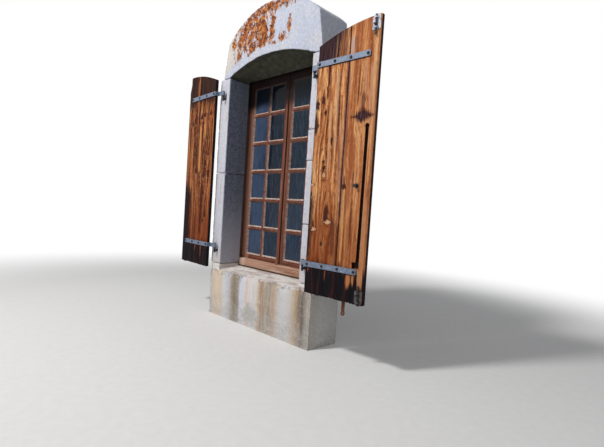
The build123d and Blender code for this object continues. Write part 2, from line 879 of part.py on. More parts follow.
# Fittings of the shutters
def slide_plate(up, name):
    """Back plate with a rounded end past the board's end, and two staples that guide the rod."""
    over = slide_end(up) + up * slide_plate_over
    middle = over - up * slide_plate_length / 2
    radius = slide_plate_width / 2 - 1
    plate_face = board_front + slide_plate_thickness
    with BuildPart() as plate:
        with BuildSketch(leaf_plane(1, board_front)) as face:
            with Locations((slide_u, middle)):
                Rectangle(slide_plate_width, slide_plate_length)
            fillet(face.vertices().group_by(Axis.Y)[-1 if up > 0 else 0], radius)
        extrude(amount=slide_plate_thickness)
        for place in staple_levels(up):
            with BuildSketch(leaf_floor(1, place - staple_height / 2)):
                with Locations((slide_u, -(plate_face + slide_v) / 2)):
                    Rectangle(2 * (slide_rod_radius + staple_wall), slide_v - plate_face)
                with Locations((slide_u, -(plate_face + staple_wall / 2))):
                    Rectangle(staple_width, staple_wall)
                with Locations((slide_u, -slide_v)):
                    Circle(slide_rod_radius + staple_wall)
                    Circle(slide_rod_radius + pin_play, mode=Mode.SUBTRACT)
            extrude(amount=staple_height)
    save(plate, name)


def slide_end(up):
    """Level of the board's end at the sliding bolt."""
    if up > 0:
        return arch_height(axis_x - slide_u, arch_radius - arch_play)
    return board_bottom


def staple_levels(up):
    near = slide_end(up) - up * staple_inset
    return [near, near - up * staple_pitch]


def slide_rod(up, name):
    """Round bolt with a short handle between the staples."""
    end = slide_end(up)
    far = end - up * slide_rod_length
    grip = staple_levels(up)[1] + up * (staple_height / 2 + grip_radius + grip_play)
    with BuildPart() as rod:
        with BuildSketch(leaf_floor(1, min(end, far))):
            with Locations((slide_u, -slide_v)):
                Circle(slide_rod_radius)
        extrude(amount=slide_rod_length)
        chamfer(rod.edges().group_by(Axis.Z)[-1 if up > 0 else 0], 1.5)
        with BuildSketch(leaf_plane(1, slide_v)):
            with Locations((slide_u, grip)):
                Circle(grip_radius)
        extrude(amount=slide_rod_radius + 12)
        with BuildSketch(leaf_plane(1, slide_v + slide_rod_radius + 6)):
            with Locations((slide_u, grip)):
                Circle(slide_rod_radius)
        extrude(amount=9)
    save(rod, name)


def pull():
    """Round iron pull: a rose on the board, a neck and a head with a bevelled rim."""
    place = (free_edge - pull_inset, sill_level + pull_level)
    layers = (
        (0, pull_reach, 0.4 * pull_radius),
        (0, pull_rose, pull_radius),
        (pull_reach / 2, pull_reach / 2, 0.8 * pull_radius),
    )
    with BuildPart() as knob:
        for start, height, radius in layers:
            with BuildSketch(leaf_plane(1, board_front + start)):
                with Locations(place):
                    Circle(radius)
            extrude(amount=height)
        rims = knob.edges().filter_by(GeomType.CIRCLE)
        chamfer(rims.sort_by(lambda edge: leaf_plane(1, 0).to_local_coords(edge.center()).Z)[-1], pull_rose)
    save(knob, "right_shutter_pull")


def iron_tail():
    """Rusted iron strip nailed to the back of the board, hanging below it to a round end."""
    u = free_edge - tail_inset
    length = tail_drop + tail_hold
    with BuildPart() as tail:
        with BuildSketch(leaf_plane(1, board_back - tail_thickness)):
            with Locations((u, board_bottom + tail_hold - length / 2)):
                Rectangle(tail_width, length)
            with Locations((u, board_bottom - tail_drop)):
                Circle(tail_width * 0.62)
                Circle(tail_width * 0.2, mode=Mode.SUBTRACT)
        extrude(amount=tail_thickness)
    save(tail, "right_shutter_iron_tail")


def closing_catches():
    """Iron plates on the back of the left shutter that lap over the right one when both are closed."""
    near = free_edge + catch_reach - catch_width
    with BuildPart() as catches:
        for level, height in (
            (sill_level + lower_catch_level, lower_catch_height),
            (sill_level + middle_catch_level, middle_catch_height),
        ):
            with BuildSketch(leaf_plane(-1, board_back - catch_thickness)):
                with Locations((-(near + catch_width / 2), level)):
                    Rectangle(catch_width, height)
            extrude(amount=catch_thickness - catch_play)
            with BuildSketch(leaf_plane(-1, board_back - catch_play)):
                with Locations((-(near + (catch_width - catch_reach) / 2), level + height / 8)):
                    Rectangle(catch_width - 2 * catch_reach, height / 2)
            extrude(amount=catch_play)
    save(catches, "left_shutter_catches")


def shutter(side):
    leaf = f"{side_name[side]}_shutter"
    upper, lower = strap_levels()
    first_board(side)
    second_board(side)
    for place, level in (("upper", upper), ("lower", lower)):
        strap(side, level, f"{leaf}_{place}_strap")
        strap_bolt_set(side, level, f"{leaf}_{place}_strap_bolts")
        pintle(side, level, f"{side_name[side]}_{place}_pintle")


def slide_bolts():
    for up, place in ((1, "top"), (-1, "bottom")):
        slide_plate(up, f"{place}_bolt_plate")
        slide_rod(up, f"{place}_bolt_rod")


sill_block()
jambs()
arch_lintel()
timber_frame()
for leaf_side in (-1, 1):
    casement(leaf_side)
    shutter(leaf_side)
fixed_hinge_halves()
casement_bolt()
slide_bolts()
pull()
iron_tail()
closing_catches()
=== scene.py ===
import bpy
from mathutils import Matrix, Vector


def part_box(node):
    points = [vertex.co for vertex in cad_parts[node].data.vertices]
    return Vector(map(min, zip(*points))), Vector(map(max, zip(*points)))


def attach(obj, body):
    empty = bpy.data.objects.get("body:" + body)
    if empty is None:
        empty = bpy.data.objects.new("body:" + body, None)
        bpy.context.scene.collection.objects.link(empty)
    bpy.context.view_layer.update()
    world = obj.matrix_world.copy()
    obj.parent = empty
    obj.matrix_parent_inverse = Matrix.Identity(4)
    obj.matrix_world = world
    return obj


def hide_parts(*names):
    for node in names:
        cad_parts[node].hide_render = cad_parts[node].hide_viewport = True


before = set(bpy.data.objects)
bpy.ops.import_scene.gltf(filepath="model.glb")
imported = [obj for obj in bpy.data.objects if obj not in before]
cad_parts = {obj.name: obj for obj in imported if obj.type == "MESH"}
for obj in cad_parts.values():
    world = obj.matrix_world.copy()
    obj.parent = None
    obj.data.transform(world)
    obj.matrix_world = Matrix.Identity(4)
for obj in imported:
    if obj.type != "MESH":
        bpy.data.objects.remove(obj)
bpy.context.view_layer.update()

import math

import bmesh
import bpy
import numpy as np
from mathutils import Matrix, Vector

SILL = 0.44  # height of the sill above the foot of the sill block
HALF_OPENING = 0.5
ARCH_SPRING = SILL + 1.665
ARCH_RISE = 0.102
ARCH_RADIUS = (HALF_OPENING ** 2 + ARCH_RISE ** 2) / (2 * ARCH_RISE)
ARCH_CENTRE = ARCH_SPRING + ARCH_RISE - ARCH_RADIUS
SILL_EDGE = SILL - 0.034  # front edge of the sloping sill
SILL_SLOPE = 0.158
SILL_HALF = 0.64  # half the length of the sill block
ARCH_SHADE_LEVELS = (SILL + 1.38, SILL + 1.48)  # painted shade of the arch darkens the joinery, putty and glass between these heights
HINGE = (0.556, -0.024)  # hinge axis of the right shutter
LEAF_TURN = {"left": math.radians(3.2), "right": math.radians(2.2)}


class Wire:
    """A socket of a node tree that can be used in sums."""

    def __init__(self, graph, socket):
        self.graph = graph
        self.socket = socket

    def __add__(self, other):
        return self.graph.math("ADD", self, other)

    def __sub__(self, other):
        return self.graph.math("SUBTRACT", self, other)

    def __rsub__(self, other):
        return self.graph.math("SUBTRACT", other, self)

    def __mul__(self, other):
        return self.graph.math("MULTIPLY", self, other)

    def __truediv__(self, other):
        return self.graph.math("DIVIDE", self, other)


class Graph:
    """One material's nodes, with short names for the ones used here."""

    def __init__(self, name):
        self.material = bpy.data.materials.new(name)
        self.material.use_nodes = True
        self.nodes = self.material.node_tree.nodes
        self.links = self.material.node_tree.links
        self.nodes.clear()
        self.place = Wire(self, self.nodes.new("ShaderNodeTexCoord").outputs["Object"])

    def feed(self, socket, value):
        if isinstance(value, Wire):
            self.links.new(value.socket, socket)
        elif socket.type == "RGBA" and len(value) == 3:
            socket.default_value = (*value, 1.0)
        else:
            socket.default_value = value

    def math(self, operation, *values):
        node = self.nodes.new("ShaderNodeMath")
        node.operation = operation
        for socket, value in zip(node.inputs, values):
            self.feed(socket, value)
        return Wire(self, node.outputs[0])

    def vector(self, operation, *values):
        node = self.nodes.new("ShaderNodeVectorMath")
        node.operation = operation
        for socket, value in zip(node.inputs, values):
            self.feed(socket, value)
        return Wire(self, node.outputs["Value" if operation in ("LENGTH", "DOT_PRODUCT") else "Vector"])

    def split(self, value):
        node = self.nodes.new("ShaderNodeSeparateXYZ")
        self.feed(node.inputs[0], value)
        return [Wire(self, socket) for socket in node.outputs]

    def join(self, x, y, z=0.0):
        node = self.nodes.new("ShaderNodeCombineXYZ")
        for socket, value in zip(node.inputs, (x, y, z)):
            self.feed(socket, value)
        return Wire(self, node.outputs[0])

    def step(self, value, low, high):
        """Rises smoothly from 0 at low to 1 at high, or falls where high is the smaller."""
        node = self.nodes.new("ShaderNodeMapRange")
        node.interpolation_type = "SMOOTHSTEP"
        self.feed(node.inputs["Value"], value)
        node.inputs["From Min"].default_value = low
        node.inputs["From Max"].default_value = high
        return Wire(self, node.outputs[0])

    def moved(self, at, size, seed):
        """Coordinates in units of size, a number or one for each axis, shifted by seed."""
        node = self.nodes.new("ShaderNodeMapping")
        self.feed(node.inputs["Vector"], self.place if at is None else at)
        sizes = size if isinstance(size, tuple) else (size, size, size)
        node.inputs["Scale"].default_value = [1 / s for s in sizes]
        node.inputs["Location"].default_value = (seed * 3.17, seed * 7.31, seed * 1.93)
        return Wire(self, node.outputs[0])

    def noise(self, size, detail, rough, at=None, seed=0, warp=0.0):
        node = self.nodes.new("ShaderNodeTexNoise")
        self.feed(node.inputs["Vector"], self.moved(at, size, seed))
        node.inputs["Scale"].default_value = 1.0
        node.inputs["Detail"].default_value = detail
        node.inputs["Roughness"].default_value = rough
        node.inputs["Distortion"].default_value = warp
        return Wire(self, node.outputs[0])

    def cells(self, size, seed, feature="F1", output=0):
        node = self.nodes.new("ShaderNodeTexVoronoi")
        node.feature = feature
        self.feed(node.inputs["Vector"], self.moved(None, size, seed))
        node.inputs["Scale"].default_value = 1.0
        return Wire(self, node.outputs[output])

    def ramp(self, value, *stops):
        node = self.nodes.new("ShaderNodeValToRGB")
        self.feed(node.inputs[0], value)
        ramp = node.color_ramp
        while len(ramp.elements) < len(stops):
            ramp.elements.new(0.5)
        for element, (place, colour) in zip(ramp.elements, stops):
            element.position = place
            element.color = (*colour, 1.0)
        return Wire(self, node.outputs[0])

    def mix(self, share, first, second, blend="MIX"):
        node = self.nodes.new("ShaderNodeMix")
        node.data_type = "RGBA"
        node.blend_type = blend
        self.feed(node.inputs[0], share)
        self.feed(node.inputs[6], first)
        self.feed(node.inputs[7], second)
        return Wire(self, node.outputs[2])

    def bump(self, height, distance, below=None):
        """Relief of height, 0 to 1, that stands out by distance in metres."""
        node = self.nodes.new("ShaderNodeBump")
        self.feed(node.inputs["Height"], height)
        node.inputs["Distance"].default_value = distance
        if below is not None:
            self.feed(node.inputs["Normal"], below)
        return Wire(self, node.outputs[0])

    def shade(self, colour, roughness, normal, **constant):
        node = self.nodes.new("ShaderNodeBsdfPrincipled")
        self.feed(node.inputs["Base Color"], colour)
        self.feed(node.inputs["Roughness"], roughness)
        self.feed(node.inputs["Normal"], normal)
        for name, value in constant.items():
            self.feed(node.inputs[name.replace("_", " ")], value)
        out = self.nodes.new("ShaderNodeOutputMaterial")
        self.links.new(node.outputs[0], out.inputs["Surface"])
        return self.material


# Stone

LIME = (0.60, 0.61, 0.68)
CREAM = (0.62, 0.55, 0.44)


def weathered_stone(g, colour, dirt=0.5):
    """Adds the specks, stains, pits and tool marks that every stone here has to its colour."""
    fine = g.noise(0.004, 4, 0.6)
    patches = g.noise(0.07, 5, 0.62, warp=0.6, seed=2)
    wide = g.noise(0.22, 3, 0.55, seed=5)
    drips = g.noise((0.035, 0.05, 0.45), 3, 0.6, seed=9)
    pits = g.step(g.cells(0.017, seed=4), 0.26, 0.10) * g.step(g.noise(0.06, 2, 0.5, seed=7), 0.50, 0.62)
    colour = g.mix(g.step(patches, 0.56, 0.74) * 0.45, colour, CREAM)
    colour = g.mix(g.step(wide, 0.50, 0.72) * 0.35 * dirt, colour, (0.36, 0.35, 0.37))
    colour = g.mix(g.step(drips, 0.56, 0.72) * 0.45 * dirt, colour, (0.33, 0.28, 0.23))
    crumbs = g.noise(0.011, 3, 0.7, seed=3)
    colour = g.mix(g.step(crumbs, 0.61, 0.70) * 0.55 * dirt, colour, (0.25, 0.23, 0.22))
    mottle = g.noise(0.022, 4, 0.75, seed=16)
    colour = g.mix(g.step(mottle, 0.50, 0.60) * (0.88 - 1.3 * dirt), colour, (0.33, 0.33, 0.37))
    colour = g.mix(g.step(mottle, 0.49, 0.40) * (0.88 - 1.25 * dirt), colour, (0.86, 0.86, 0.90))
    colour = g.mix(pits * 0.6, colour, (0.20, 0.18, 0.17))
    colour = g.mix(g.step(fine, 0.3, 0.75) * 0.16, colour, (0.86, 0.86, 0.88))
    relief = g.bump(patches, 0.004)
    tooling = g.noise((0.02, 0.02, 0.004), 3, 0.6, seed=8)
    relief = g.bump(tooling * 0.7 + fine * 0.5 - pits * 1.4, 0.0022, relief)
    roughness = g.step(patches, 0.2, 0.8) * 0.12 + 0.82
    return colour, roughness, relief


def grime_and_shade(g, colour, share, y, z):
    """The dark crust inside the opening, in two tones with an uneven line between them; it is partly grime
    and partly painted shade, lighter towards the foot.
    """
    uneven = g.noise(0.05, 4, 0.6, seed=12)
    inner = g.step(y + uneven * 0.05, 0.145, 0.165)
    low = g.step(z, SILL + 0.75, SILL + 0.1)
    clouds = g.noise(0.018, 5, 0.65, seed=14, warp=0.4)
    crust_and_shade = g.ramp(clouds, (0.3, (0.070, 0.085, 0.125)), (0.62, (0.20, 0.230, 0.305)))
    crust_and_shade = g.mix(inner * 0.4, crust_and_shade, (0.120, 0.126, 0.145))
    crust_and_shade = g.mix(low * 0.65, crust_and_shade, (0.50, 0.495, 0.55))
    moss = g.step(z + uneven * 0.2, SILL + 0.19, SILL + 0.09) * g.step(y, 0.10, 0.21)
    crust_and_shade = g.mix(moss * 0.6, crust_and_shade, (0.12, 0.085, 0.055))
    return g.mix(share, colour, crust_and_shade)


def jamb_material():
    g = Graph("dressed_jamb_stone")
    x, y, z = g.split(g.place)
    tint = g.noise(0.3, 2, 0.5, seed=1)
    colour = g.mix(g.step(tint, 0.35, 0.7), LIME, (0.56, 0.56, 0.65))
    low = g.step(z + g.noise(0.08, 4, 0.6, seed=6) * 0.25, SILL + 0.38, SILL + 0.1)
    colour = g.mix(low * 0.55, colour, (0.58, 0.49, 0.38))
    rust = g.noise((0.03, 0.2, 0.2), 4, 0.6, seed=21)
    near_pins = g.step(g.math("ABSOLUTE", g.math("ABSOLUTE", x) - 0.545), 0.05, 0.0)
    colour = g.mix(near_pins * g.step(rust, 0.55, 0.72) * 0.7, colour, (0.42, 0.24, 0.13))
    colour, roughness, relief = weathered_stone(g, colour, 0.55)
    # the faces of the reveal take grime and painted shade
    reveal = g.step(g.math("ABSOLUTE", x), HALF_OPENING + 0.012, HALF_OPENING + 0.007)
    colour = grime_and_shade(g, colour, reveal * g.step(y, 0.002, 0.008), y, z)
    return g.shade(colour, roughness, relief, Specular_IOR_Level=0.25)


LICHEN = [  # patches: place along the stone, height above the sill, half width, half height
    (-0.47, 1.93, 0.035, 0.06), (-0.25, 2.01, 0.11, 0.13), (-0.10, 1.96, 0.075, 0.12),
    (-0.10, 2.14, 0.14, 0.04), (0.13, 2.13, 0.17, 0.035), (0.03, 1.96, 0.03, 0.09),
    (-0.21, 1.84, 0.045, 0.08), (-0.39, 1.86, 0.035, 0.08), (0.23, 1.93, 0.018, 0.06),
    (0.16, 1.87, 0.04, 0.03), (-0.36, 1.95, 0.04, 0.06), (0.06, 1.83, 0.02, 0.02),
]


def lintel_material():
    g = Graph("limewashed_lintel_stone")
    x, y, z = g.split(g.place)
    from_arch = g.vector("LENGTH", g.join(x, 0.0, z - ARCH_CENTRE)) - ARCH_RADIUS
    wash = g.noise(0.2, 3, 0.5, seed=3)
    colour = g.mix(g.step(wash, 0.4, 0.65), (0.46, 0.50, 0.625), (0.53, 0.55, 0.62))
    plaster = g.step(x + g.noise(0.12, 4, 0.6, seed=31) * 0.35, -0.12, -0.34)
    colour = g.mix(plaster * g.step(from_arch, 0.05, 0.09) * 0.75, colour, (0.62, 0.56, 0.46))
    colour, roughness, relief = weathered_stone(g, colour, 0.5)
    # orange lichen that runs down the left half of the stone and stops at the painted band
    cover = g.noise((0.06, 0.2, 0.09), 3, 0.6, seed=33)
    blots = g.noise((0.034, 0.05, 0.055), 5, 0.66, seed=34, warp=0.5)
    crumbs = g.noise((0.010, 0.02, 0.014), 4, 0.7, seed=38)
    near = 9.0
    for along, height, half_width, half_height in LICHEN:
        away = g.join((x - along) / half_width, (z - SILL - height) / half_height)
        near = g.math("MINIMUM", g.vector("LENGTH", away), near)
    lush = g.step(near + (cover - 0.5) * 2.2, 2.1, 0.3) * g.step(y, 0.05, 0.03)
    lush = lush * g.step(from_arch + (cover - 0.5) * 0.1, 0.045, 0.085)
    level = blots * 0.60 + crumbs * 0.40 + lush * 0.165
    grown = g.step(lush, 0.02, 0.15)
    orange = g.ramp(
        g.noise(0.034, 4, 0.72, seed=35),
        (0.40, (0.070, 0.024, 0.012)), (0.47, (0.20, 0.046, 0.007)),
        (0.54, (0.38, 0.100, 0.010)), (0.62, (0.58, 0.25, 0.065)),
    )
    colour = g.mix(g.step(level, 0.555, 0.595) * grown * 0.6, colour, (0.40, 0.27, 0.21))
    colour = g.mix(g.step(level, 0.585, 0.612) * grown, colour, orange)
    specks = g.step(g.noise(0.012, 3, 0.7, seed=36), 0.58, 0.64) * lush
    colour = g.mix(specks * 0.8, colour, (0.12, 0.11, 0.12))
    # painted shade on the soffit of the arch, in dark olive tones
    soffit = g.step(from_arch, 0.016, 0.010) * g.step(y, 0.002, 0.006)
    soffit_mottle = g.noise(0.05, 4, 0.6, seed=37)
    crust_and_shade = g.ramp(soffit_mottle, (0.3, (0.034, 0.035, 0.024)), (0.7, (0.082, 0.082, 0.060)))
    colour = g.mix(soffit, colour, crust_and_shade)
    return g.shade(colour, roughness, relief, Specular_IOR_Level=0.25)


SILL_BANDS = [  # place across the sill in metres, colour
    (-0.64, (0.50, 0.46, 0.42)), (-0.53, (0.74, 0.56, 0.40)), (-0.46, (0.68, 0.57, 0.43)),
    (-0.40, (0.64, 0.64, 0.70)), (-0.34, (0.52, 0.52, 0.53)), (-0.30, (0.29, 0.215, 0.135)),
    (-0.26, (0.165, 0.120, 0.072)), (-0.21, (0.30, 0.235, 0.165)), (-0.175, (0.66, 0.68, 0.79)),
    (-0.12, (0.68, 0.67, 0.75)), (-0.09, (0.74, 0.55, 0.45)), (-0.04, (0.72, 0.70, 0.70)),
    (0.03, (0.68, 0.62, 0.57)), (0.07, (0.50, 0.320, 0.185)), (0.10, (0.32, 0.180, 0.090)),
    (0.14, (0.38, 0.290, 0.200)), (0.20, (0.33, 0.255, 0.180)), (0.25, (0.50, 0.33, 0.205)),
    (0.30, (0.58, 0.56, 0.55)), (0.36, (0.64, 0.63, 0.65)), (0.43, (0.58, 0.54, 0.50)),
    (0.475, (0.52, 0.35, 0.200)), (0.515, (0.28, 0.175, 0.085)), (0.555, (0.085, 0.058, 0.032)),
    (0.59, (0.30, 0.255, 0.20)), (0.64, (0.42, 0.39, 0.35)),
]


def sill_material():
    g = Graph("stained_sill_stone")
    x, y, z = g.split(g.place)
    waver = (g.noise((0.06, 0.06, 0.5), 3, 0.55, seed=41) - 0.5) * 0.05
    stops = [((place + SILL_HALF) / (2 * SILL_HALF), tone) for place, tone in SILL_BANDS]
    bands = g.ramp((x + waver + SILL_HALF) / (2 * SILL_HALF), *stops)
    soft = g.noise((0.05, 0.05, 0.3), 4, 0.6, seed=42)
    bands = g.mix(g.step(soft, 0.45, 0.80) * 0.15, bands, (0.58, 0.56, 0.54))
    streaks = g.noise((0.012, 0.05, 0.35), 3, 0.6, seed=43)
    bands = g.mix(g.step(streaks, 0.55, 0.72) * 0.35, bands, (0.42, 0.31, 0.21))
    bands = g.mix(g.step(streaks, 0.45, 0.30) * 0.30, bands, (0.74, 0.73, 0.74))
    # painted shadow under the lip of the sill, in patches
    lip_shadow = g.step(z - y * SILL_SLOPE + (soft - 0.5) * 0.10, 0.345, 0.385)
    lip_shadow = lip_shadow * g.step(g.noise((0.07, 0.05, 0.06), 3, 0.6, seed=40), 0.50, 0.62)
    bands = g.mix(lip_shadow * 0.65, bands, (0.20, 0.17, 0.125))
    bands = g.mix(g.step(y, 0.03, 0.12), bands, (0.46, 0.445, 0.425))
    foot = g.step(z + g.noise(0.09, 4, 0.6, seed=44) * 0.16, 0.24, 0.16)
    rough_foot = g.ramp(
        g.noise(0.02, 5, 0.68, seed=45),
        (0.3, (0.22, 0.20, 0.17)), (0.5, (0.42, 0.40, 0.37)), (0.7, (0.62, 0.61, 0.59)),
    )
    bands = g.mix(foot * 0.30, bands, rough_foot)
    patch = g.vector("LENGTH", g.join((x + 0.045) / 0.13, (z - 0.10) / 0.075))
    patch = g.step(patch + g.noise(0.035, 5, 0.72, seed=46) * 2.2, 2.1, 1.8)
    gravel = g.mix(g.noise(0.012, 4, 0.7, seed=47), (0.20, 0.20, 0.19), (0.62, 0.62, 0.60))
    bands = g.mix(patch * 0.75, bands, gravel)
    top = g.step(z - y * SILL_SLOPE + (g.noise(0.03, 4, 0.6, seed=48) - 0.5) * 0.020, 0.396, 0.403)
    ledge = g.ramp(
        g.noise((0.20, 0.07, 0.05), 3, 0.5, seed=49),
        (0.36, (0.50, 0.40, 0.36)), (0.46, (0.74, 0.64, 0.60)), (0.58, (0.86, 0.82, 0.79)),
    )
    # painted shade on the ledge in front of the rail and beside the left jamb
    corner_shade = g.step(y, 0.165, 0.205) + g.step(g.math("ABSOLUTE", x + 0.5), 0.035, 0.0)
    ledge = g.mix(g.math("MINIMUM", corner_shade, 1.0) * 0.35, ledge, (0.24, 0.17, 0.13))
    colour = g.mix(top, bands, ledge)
    colour, roughness, relief = weathered_stone(g, colour, 0.6)
    # painted shade: a dark line where the timber rail sits on the stone
    rail_seat_shade = g.step(y, 0.203, 0.208) * g.step(z, SILL - 0.012, SILL - 0.006)
    rail_seat_shade = rail_seat_shade * g.step(g.math("ABSOLUTE", x), 0.575, 0.570)
    colour = g.mix(rail_seat_shade * 0.93, colour, (0.012, 0.010, 0.010))
    return g.shade(colour, roughness, relief, Specular_IOR_Level=0.25)


def lattice(points, cell, seed):
    """Smooth random values, 0 to 1, at points, on a lattice of that cell."""
    # a well-mixed whole number stands at each corner of the lattice
    q = points / cell
    base = np.floor(q).astype(np.int64)
    t = q - base
    t = t * t * (3 - 2 * t)
    total = np.zeros(len(points))
    for corner in range(8):
        offset = np.array([(corner >> axis) & 1 for axis in range(3)])
        n = base + offset
        h = (n[:, 0] * 73856093) ^ (n[:, 1] * 19349663) ^ (n[:, 2] * 83492791) ^ (seed * 668265263)
        h = ((h ^ (h >> 13)) * 1274126177) & 0x7FFFFFFF
        h = ((h ^ (h >> 15)) * 461845907) & 0x7FFFFFFF
        weight = np.prod(np.where(offset == 1, t, 1 - t), axis=1)
        total += weight * ((h >> 7) % 65536) / 65535
    return total


def fractal(points, cell, seed, octaves=3):
    """The lattice's values with finer and weaker ones added."""
    total, share, whole = 0.0, 1.0, 0.0
    for octave in range(octaves):
        total = total + share * lattice(points, cell / 2 ** octave, seed + octave)
        whole += share
        share *= 0.55
    return total / whole


def coordinates(mesh, what="vertices", field="co"):
    values = np.zeros(len(getattr(mesh, what)) * 3, np.float32)
    getattr(mesh, what).foreach_get(field, values)
    return values.reshape(-1, 3).astype(float)


def new_piece(name, mesh, material, body, node):
    """The mesh as a visible piece that takes the node's place."""
    piece = bpy.data.objects.new(name, mesh)
    bpy.context.scene.collection.objects.link(piece)
    mesh.materials.clear()
    mesh.materials.append(material)
    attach(piece, body)
    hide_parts(node)


STONE_CELL = 0.0065
ARRIS_REACH = 0.009  # how far the wear of an arris reaches into the faces
LIP_REACH = 0.028
SOCKET_PLACE = (0.0365, 0.027)  # axis of the sliding bolts while the right shutter is closed
SOCKET_RADIUS = 0.0095
SOCKET_LEVELS = {  # the drill's lower and upper end
    "sill_block": (SILL - 0.058, SILL + 0.03),
    "arch_lintel": (ARCH_SPRING, ARCH_SPRING + 0.141),
}


def shaped(piece):
    """The piece's mesh with its modifier in it; the piece itself goes."""
    depsgraph = bpy.context.evaluated_depsgraph_get()
    mesh = bpy.data.meshes.new_from_object(piece.evaluated_get(depsgraph))
    bpy.data.objects.remove(piece)
    return mesh


def drilled(mesh, lowest, highest):
    """The stone's mesh with the round hole that takes the closed shutter's bolt."""
    stone = bpy.data.objects.new("work", mesh)
    bpy.context.scene.collection.objects.link(stone)
    bpy.ops.object.select_all(action="DESELECT")
    bpy.ops.mesh.primitive_cylinder_add(
        vertices=40, radius=SOCKET_RADIUS, depth=highest - lowest,
        location=(*SOCKET_PLACE, (lowest + highest) / 2),
    )
    drill = bpy.context.object
    cut = stone.modifiers.new("socket", "BOOLEAN")
    cut.operation = "DIFFERENCE"
    cut.solver = "EXACT"
    cut.object = drill
    holed = shaped(stone)
    bpy.data.objects.remove(drill)
    return holed


def evenly_divided(node):
    """A copy of a stone's mesh with small faces of one size."""
    piece = bpy.data.objects.new("work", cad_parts[node].data.copy())
    bpy.context.scene.collection.objects.link(piece)
    change = piece.modifiers.new("even", "REMESH")
    change.mode = "VOXEL"
    change.voxel_size = STONE_CELL
    return shaped(piece)


def worn_stone(node, material, seed):
    """The stone with uneven faces and worn arrises; nothing stands out past the dressed faces."""
    mesh = evenly_divided(node)
    p = coordinates(mesh)
    normal = coordinates(mesh, "vertex_normals", "vector")
    low, high = (np.array(corner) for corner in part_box(node))
    sides = np.sort(np.minimum(p - low, high - p).clip(0), axis=1)
    rim = np.hypot(sides[:, 0], sides[:, 1])
    if node == "arch_lintel":
        ring = np.abs(np.hypot(p[:, 0], p[:, 2] - ARCH_CENTRE) - ARCH_RADIUS)
        rim = np.minimum(rim, np.hypot(ring, p[:, 1]))
    near = np.exp(-(rim / ARRIS_REACH) ** 2)
    chips = np.clip(fractal(p, 0.05, seed + 3) * 2.6 - 1.35, 0, 1)
    depth = 0.0006 + 0.0016 * fractal(p, 0.09, seed) + 0.0010 * fractal(p, 0.016, seed + 5, 2)
    depth += near * (0.0010 + 0.0065 * chips)
    if node == "sill_block":
        lip = np.hypot(p[:, 1], p[:, 2] - SILL_EDGE)
        eroded = np.clip(fractal(p * [1, 0.6, 0.3], 0.09, seed + 9) * 2.8 - 0.95, 0, 1)
        depth += np.exp(-(lip / LIP_REACH) ** 2) * (0.001 + 0.021 * eroded)
        tread = (np.abs(p[:, 0]) < 0.49) & (normal[:, 2] > 0.5) & (p[:, 1] < 0.2)
        depth += tread * 0.004 * fractal(p * [0.5, 1, 1], 0.05, seed + 15)
        foot = np.clip((0.17 - p[:, 2] + 0.1 * fractal(p, 0.14, seed + 12)) / 0.06, 0, 1)
        depth += foot * (p[:, 1] < 0.02) * 0.012 * fractal(p, 0.06, seed + 14)
    bedded = (p[:, 2] < 0.004) | (p[:, 1] > 0.2965)
    depth = np.where(bedded, 0.0006, depth)
    p -= normal * depth[:, None]
    p = np.minimum(np.maximum(p, low), high)
    mesh.vertices.foreach_set("co", p.astype(np.float32).ravel())
    mesh.polygons.foreach_set("use_smooth", np.ones(len(mesh.polygons), bool))
    mesh.update()
    if node in SOCKET_LEVELS:
        mesh = drilled(mesh, *SOCKET_LEVELS[node])
    new_piece("worn_" + node, mesh, material, "surround", node)


# Wood of the shutters

# knots: distance from the hinge axis, height, half width, half height, kind, reach of the dark tail, in mm
SPOTS = {
    "right": [
        (457, 1152, 80, 42, "star", 125), (118, 422, 21, 13, "pale", 55), (231, 478, 28, 16, "pale", 90),
        (80, 1120, 21, 42, "dark", 90), (78, 722, 24, 11, "pale", 75), (84, 1258, 16, 26, "dark", 50),
        (176, 836, 10, 12, "dark", 45), (166, 876, 8, 9, "dark", 30), (178, 788, 15, 16, "pale", 45),
        (135, 1285, 11, 22, "dark", 60), (171, 137, 7, 7, "pale", 0), (192, 330, 9, 11, "dark", 25),
        (352, 712, 13, 15, "dark", 60), (437, 1520, 8, 13, "dark", 30), (160, 1200, 9, 15, "dark", 30),
        (226, 1010, 8, 20, "dark", 40), (213, 522, 13, 40, "dark", 0),
    ],
    "left": [
        (411, 1327, 18, 24, "dark", 60), (219, 1021, 14, 18, "red", 40), (142, 998, 15, 13, "dark", 40),
        (355, 849, 18, 14, "dark", 90), (124, 834, 22, 17, "dark", 60), (195, 643, 12, 15, "dark", 30),
        (154, 451, 17, 24, "dark", 60), (184, 390, 12, 14, "dark", 40), (240, 1363, 22, 16, "dark", 60),
        (130, 1367, 20, 16, "dark", 50), (285, 1345, 12, 16, "dark", 40), (205, 800, 18, 16, "dark", 50),
        (470, 1300, 14, 20, "dark", 60), (180, 905, 10, 14, "dark", 30), (300, 1340, 15, 12, "dark", 40),
    ],
}

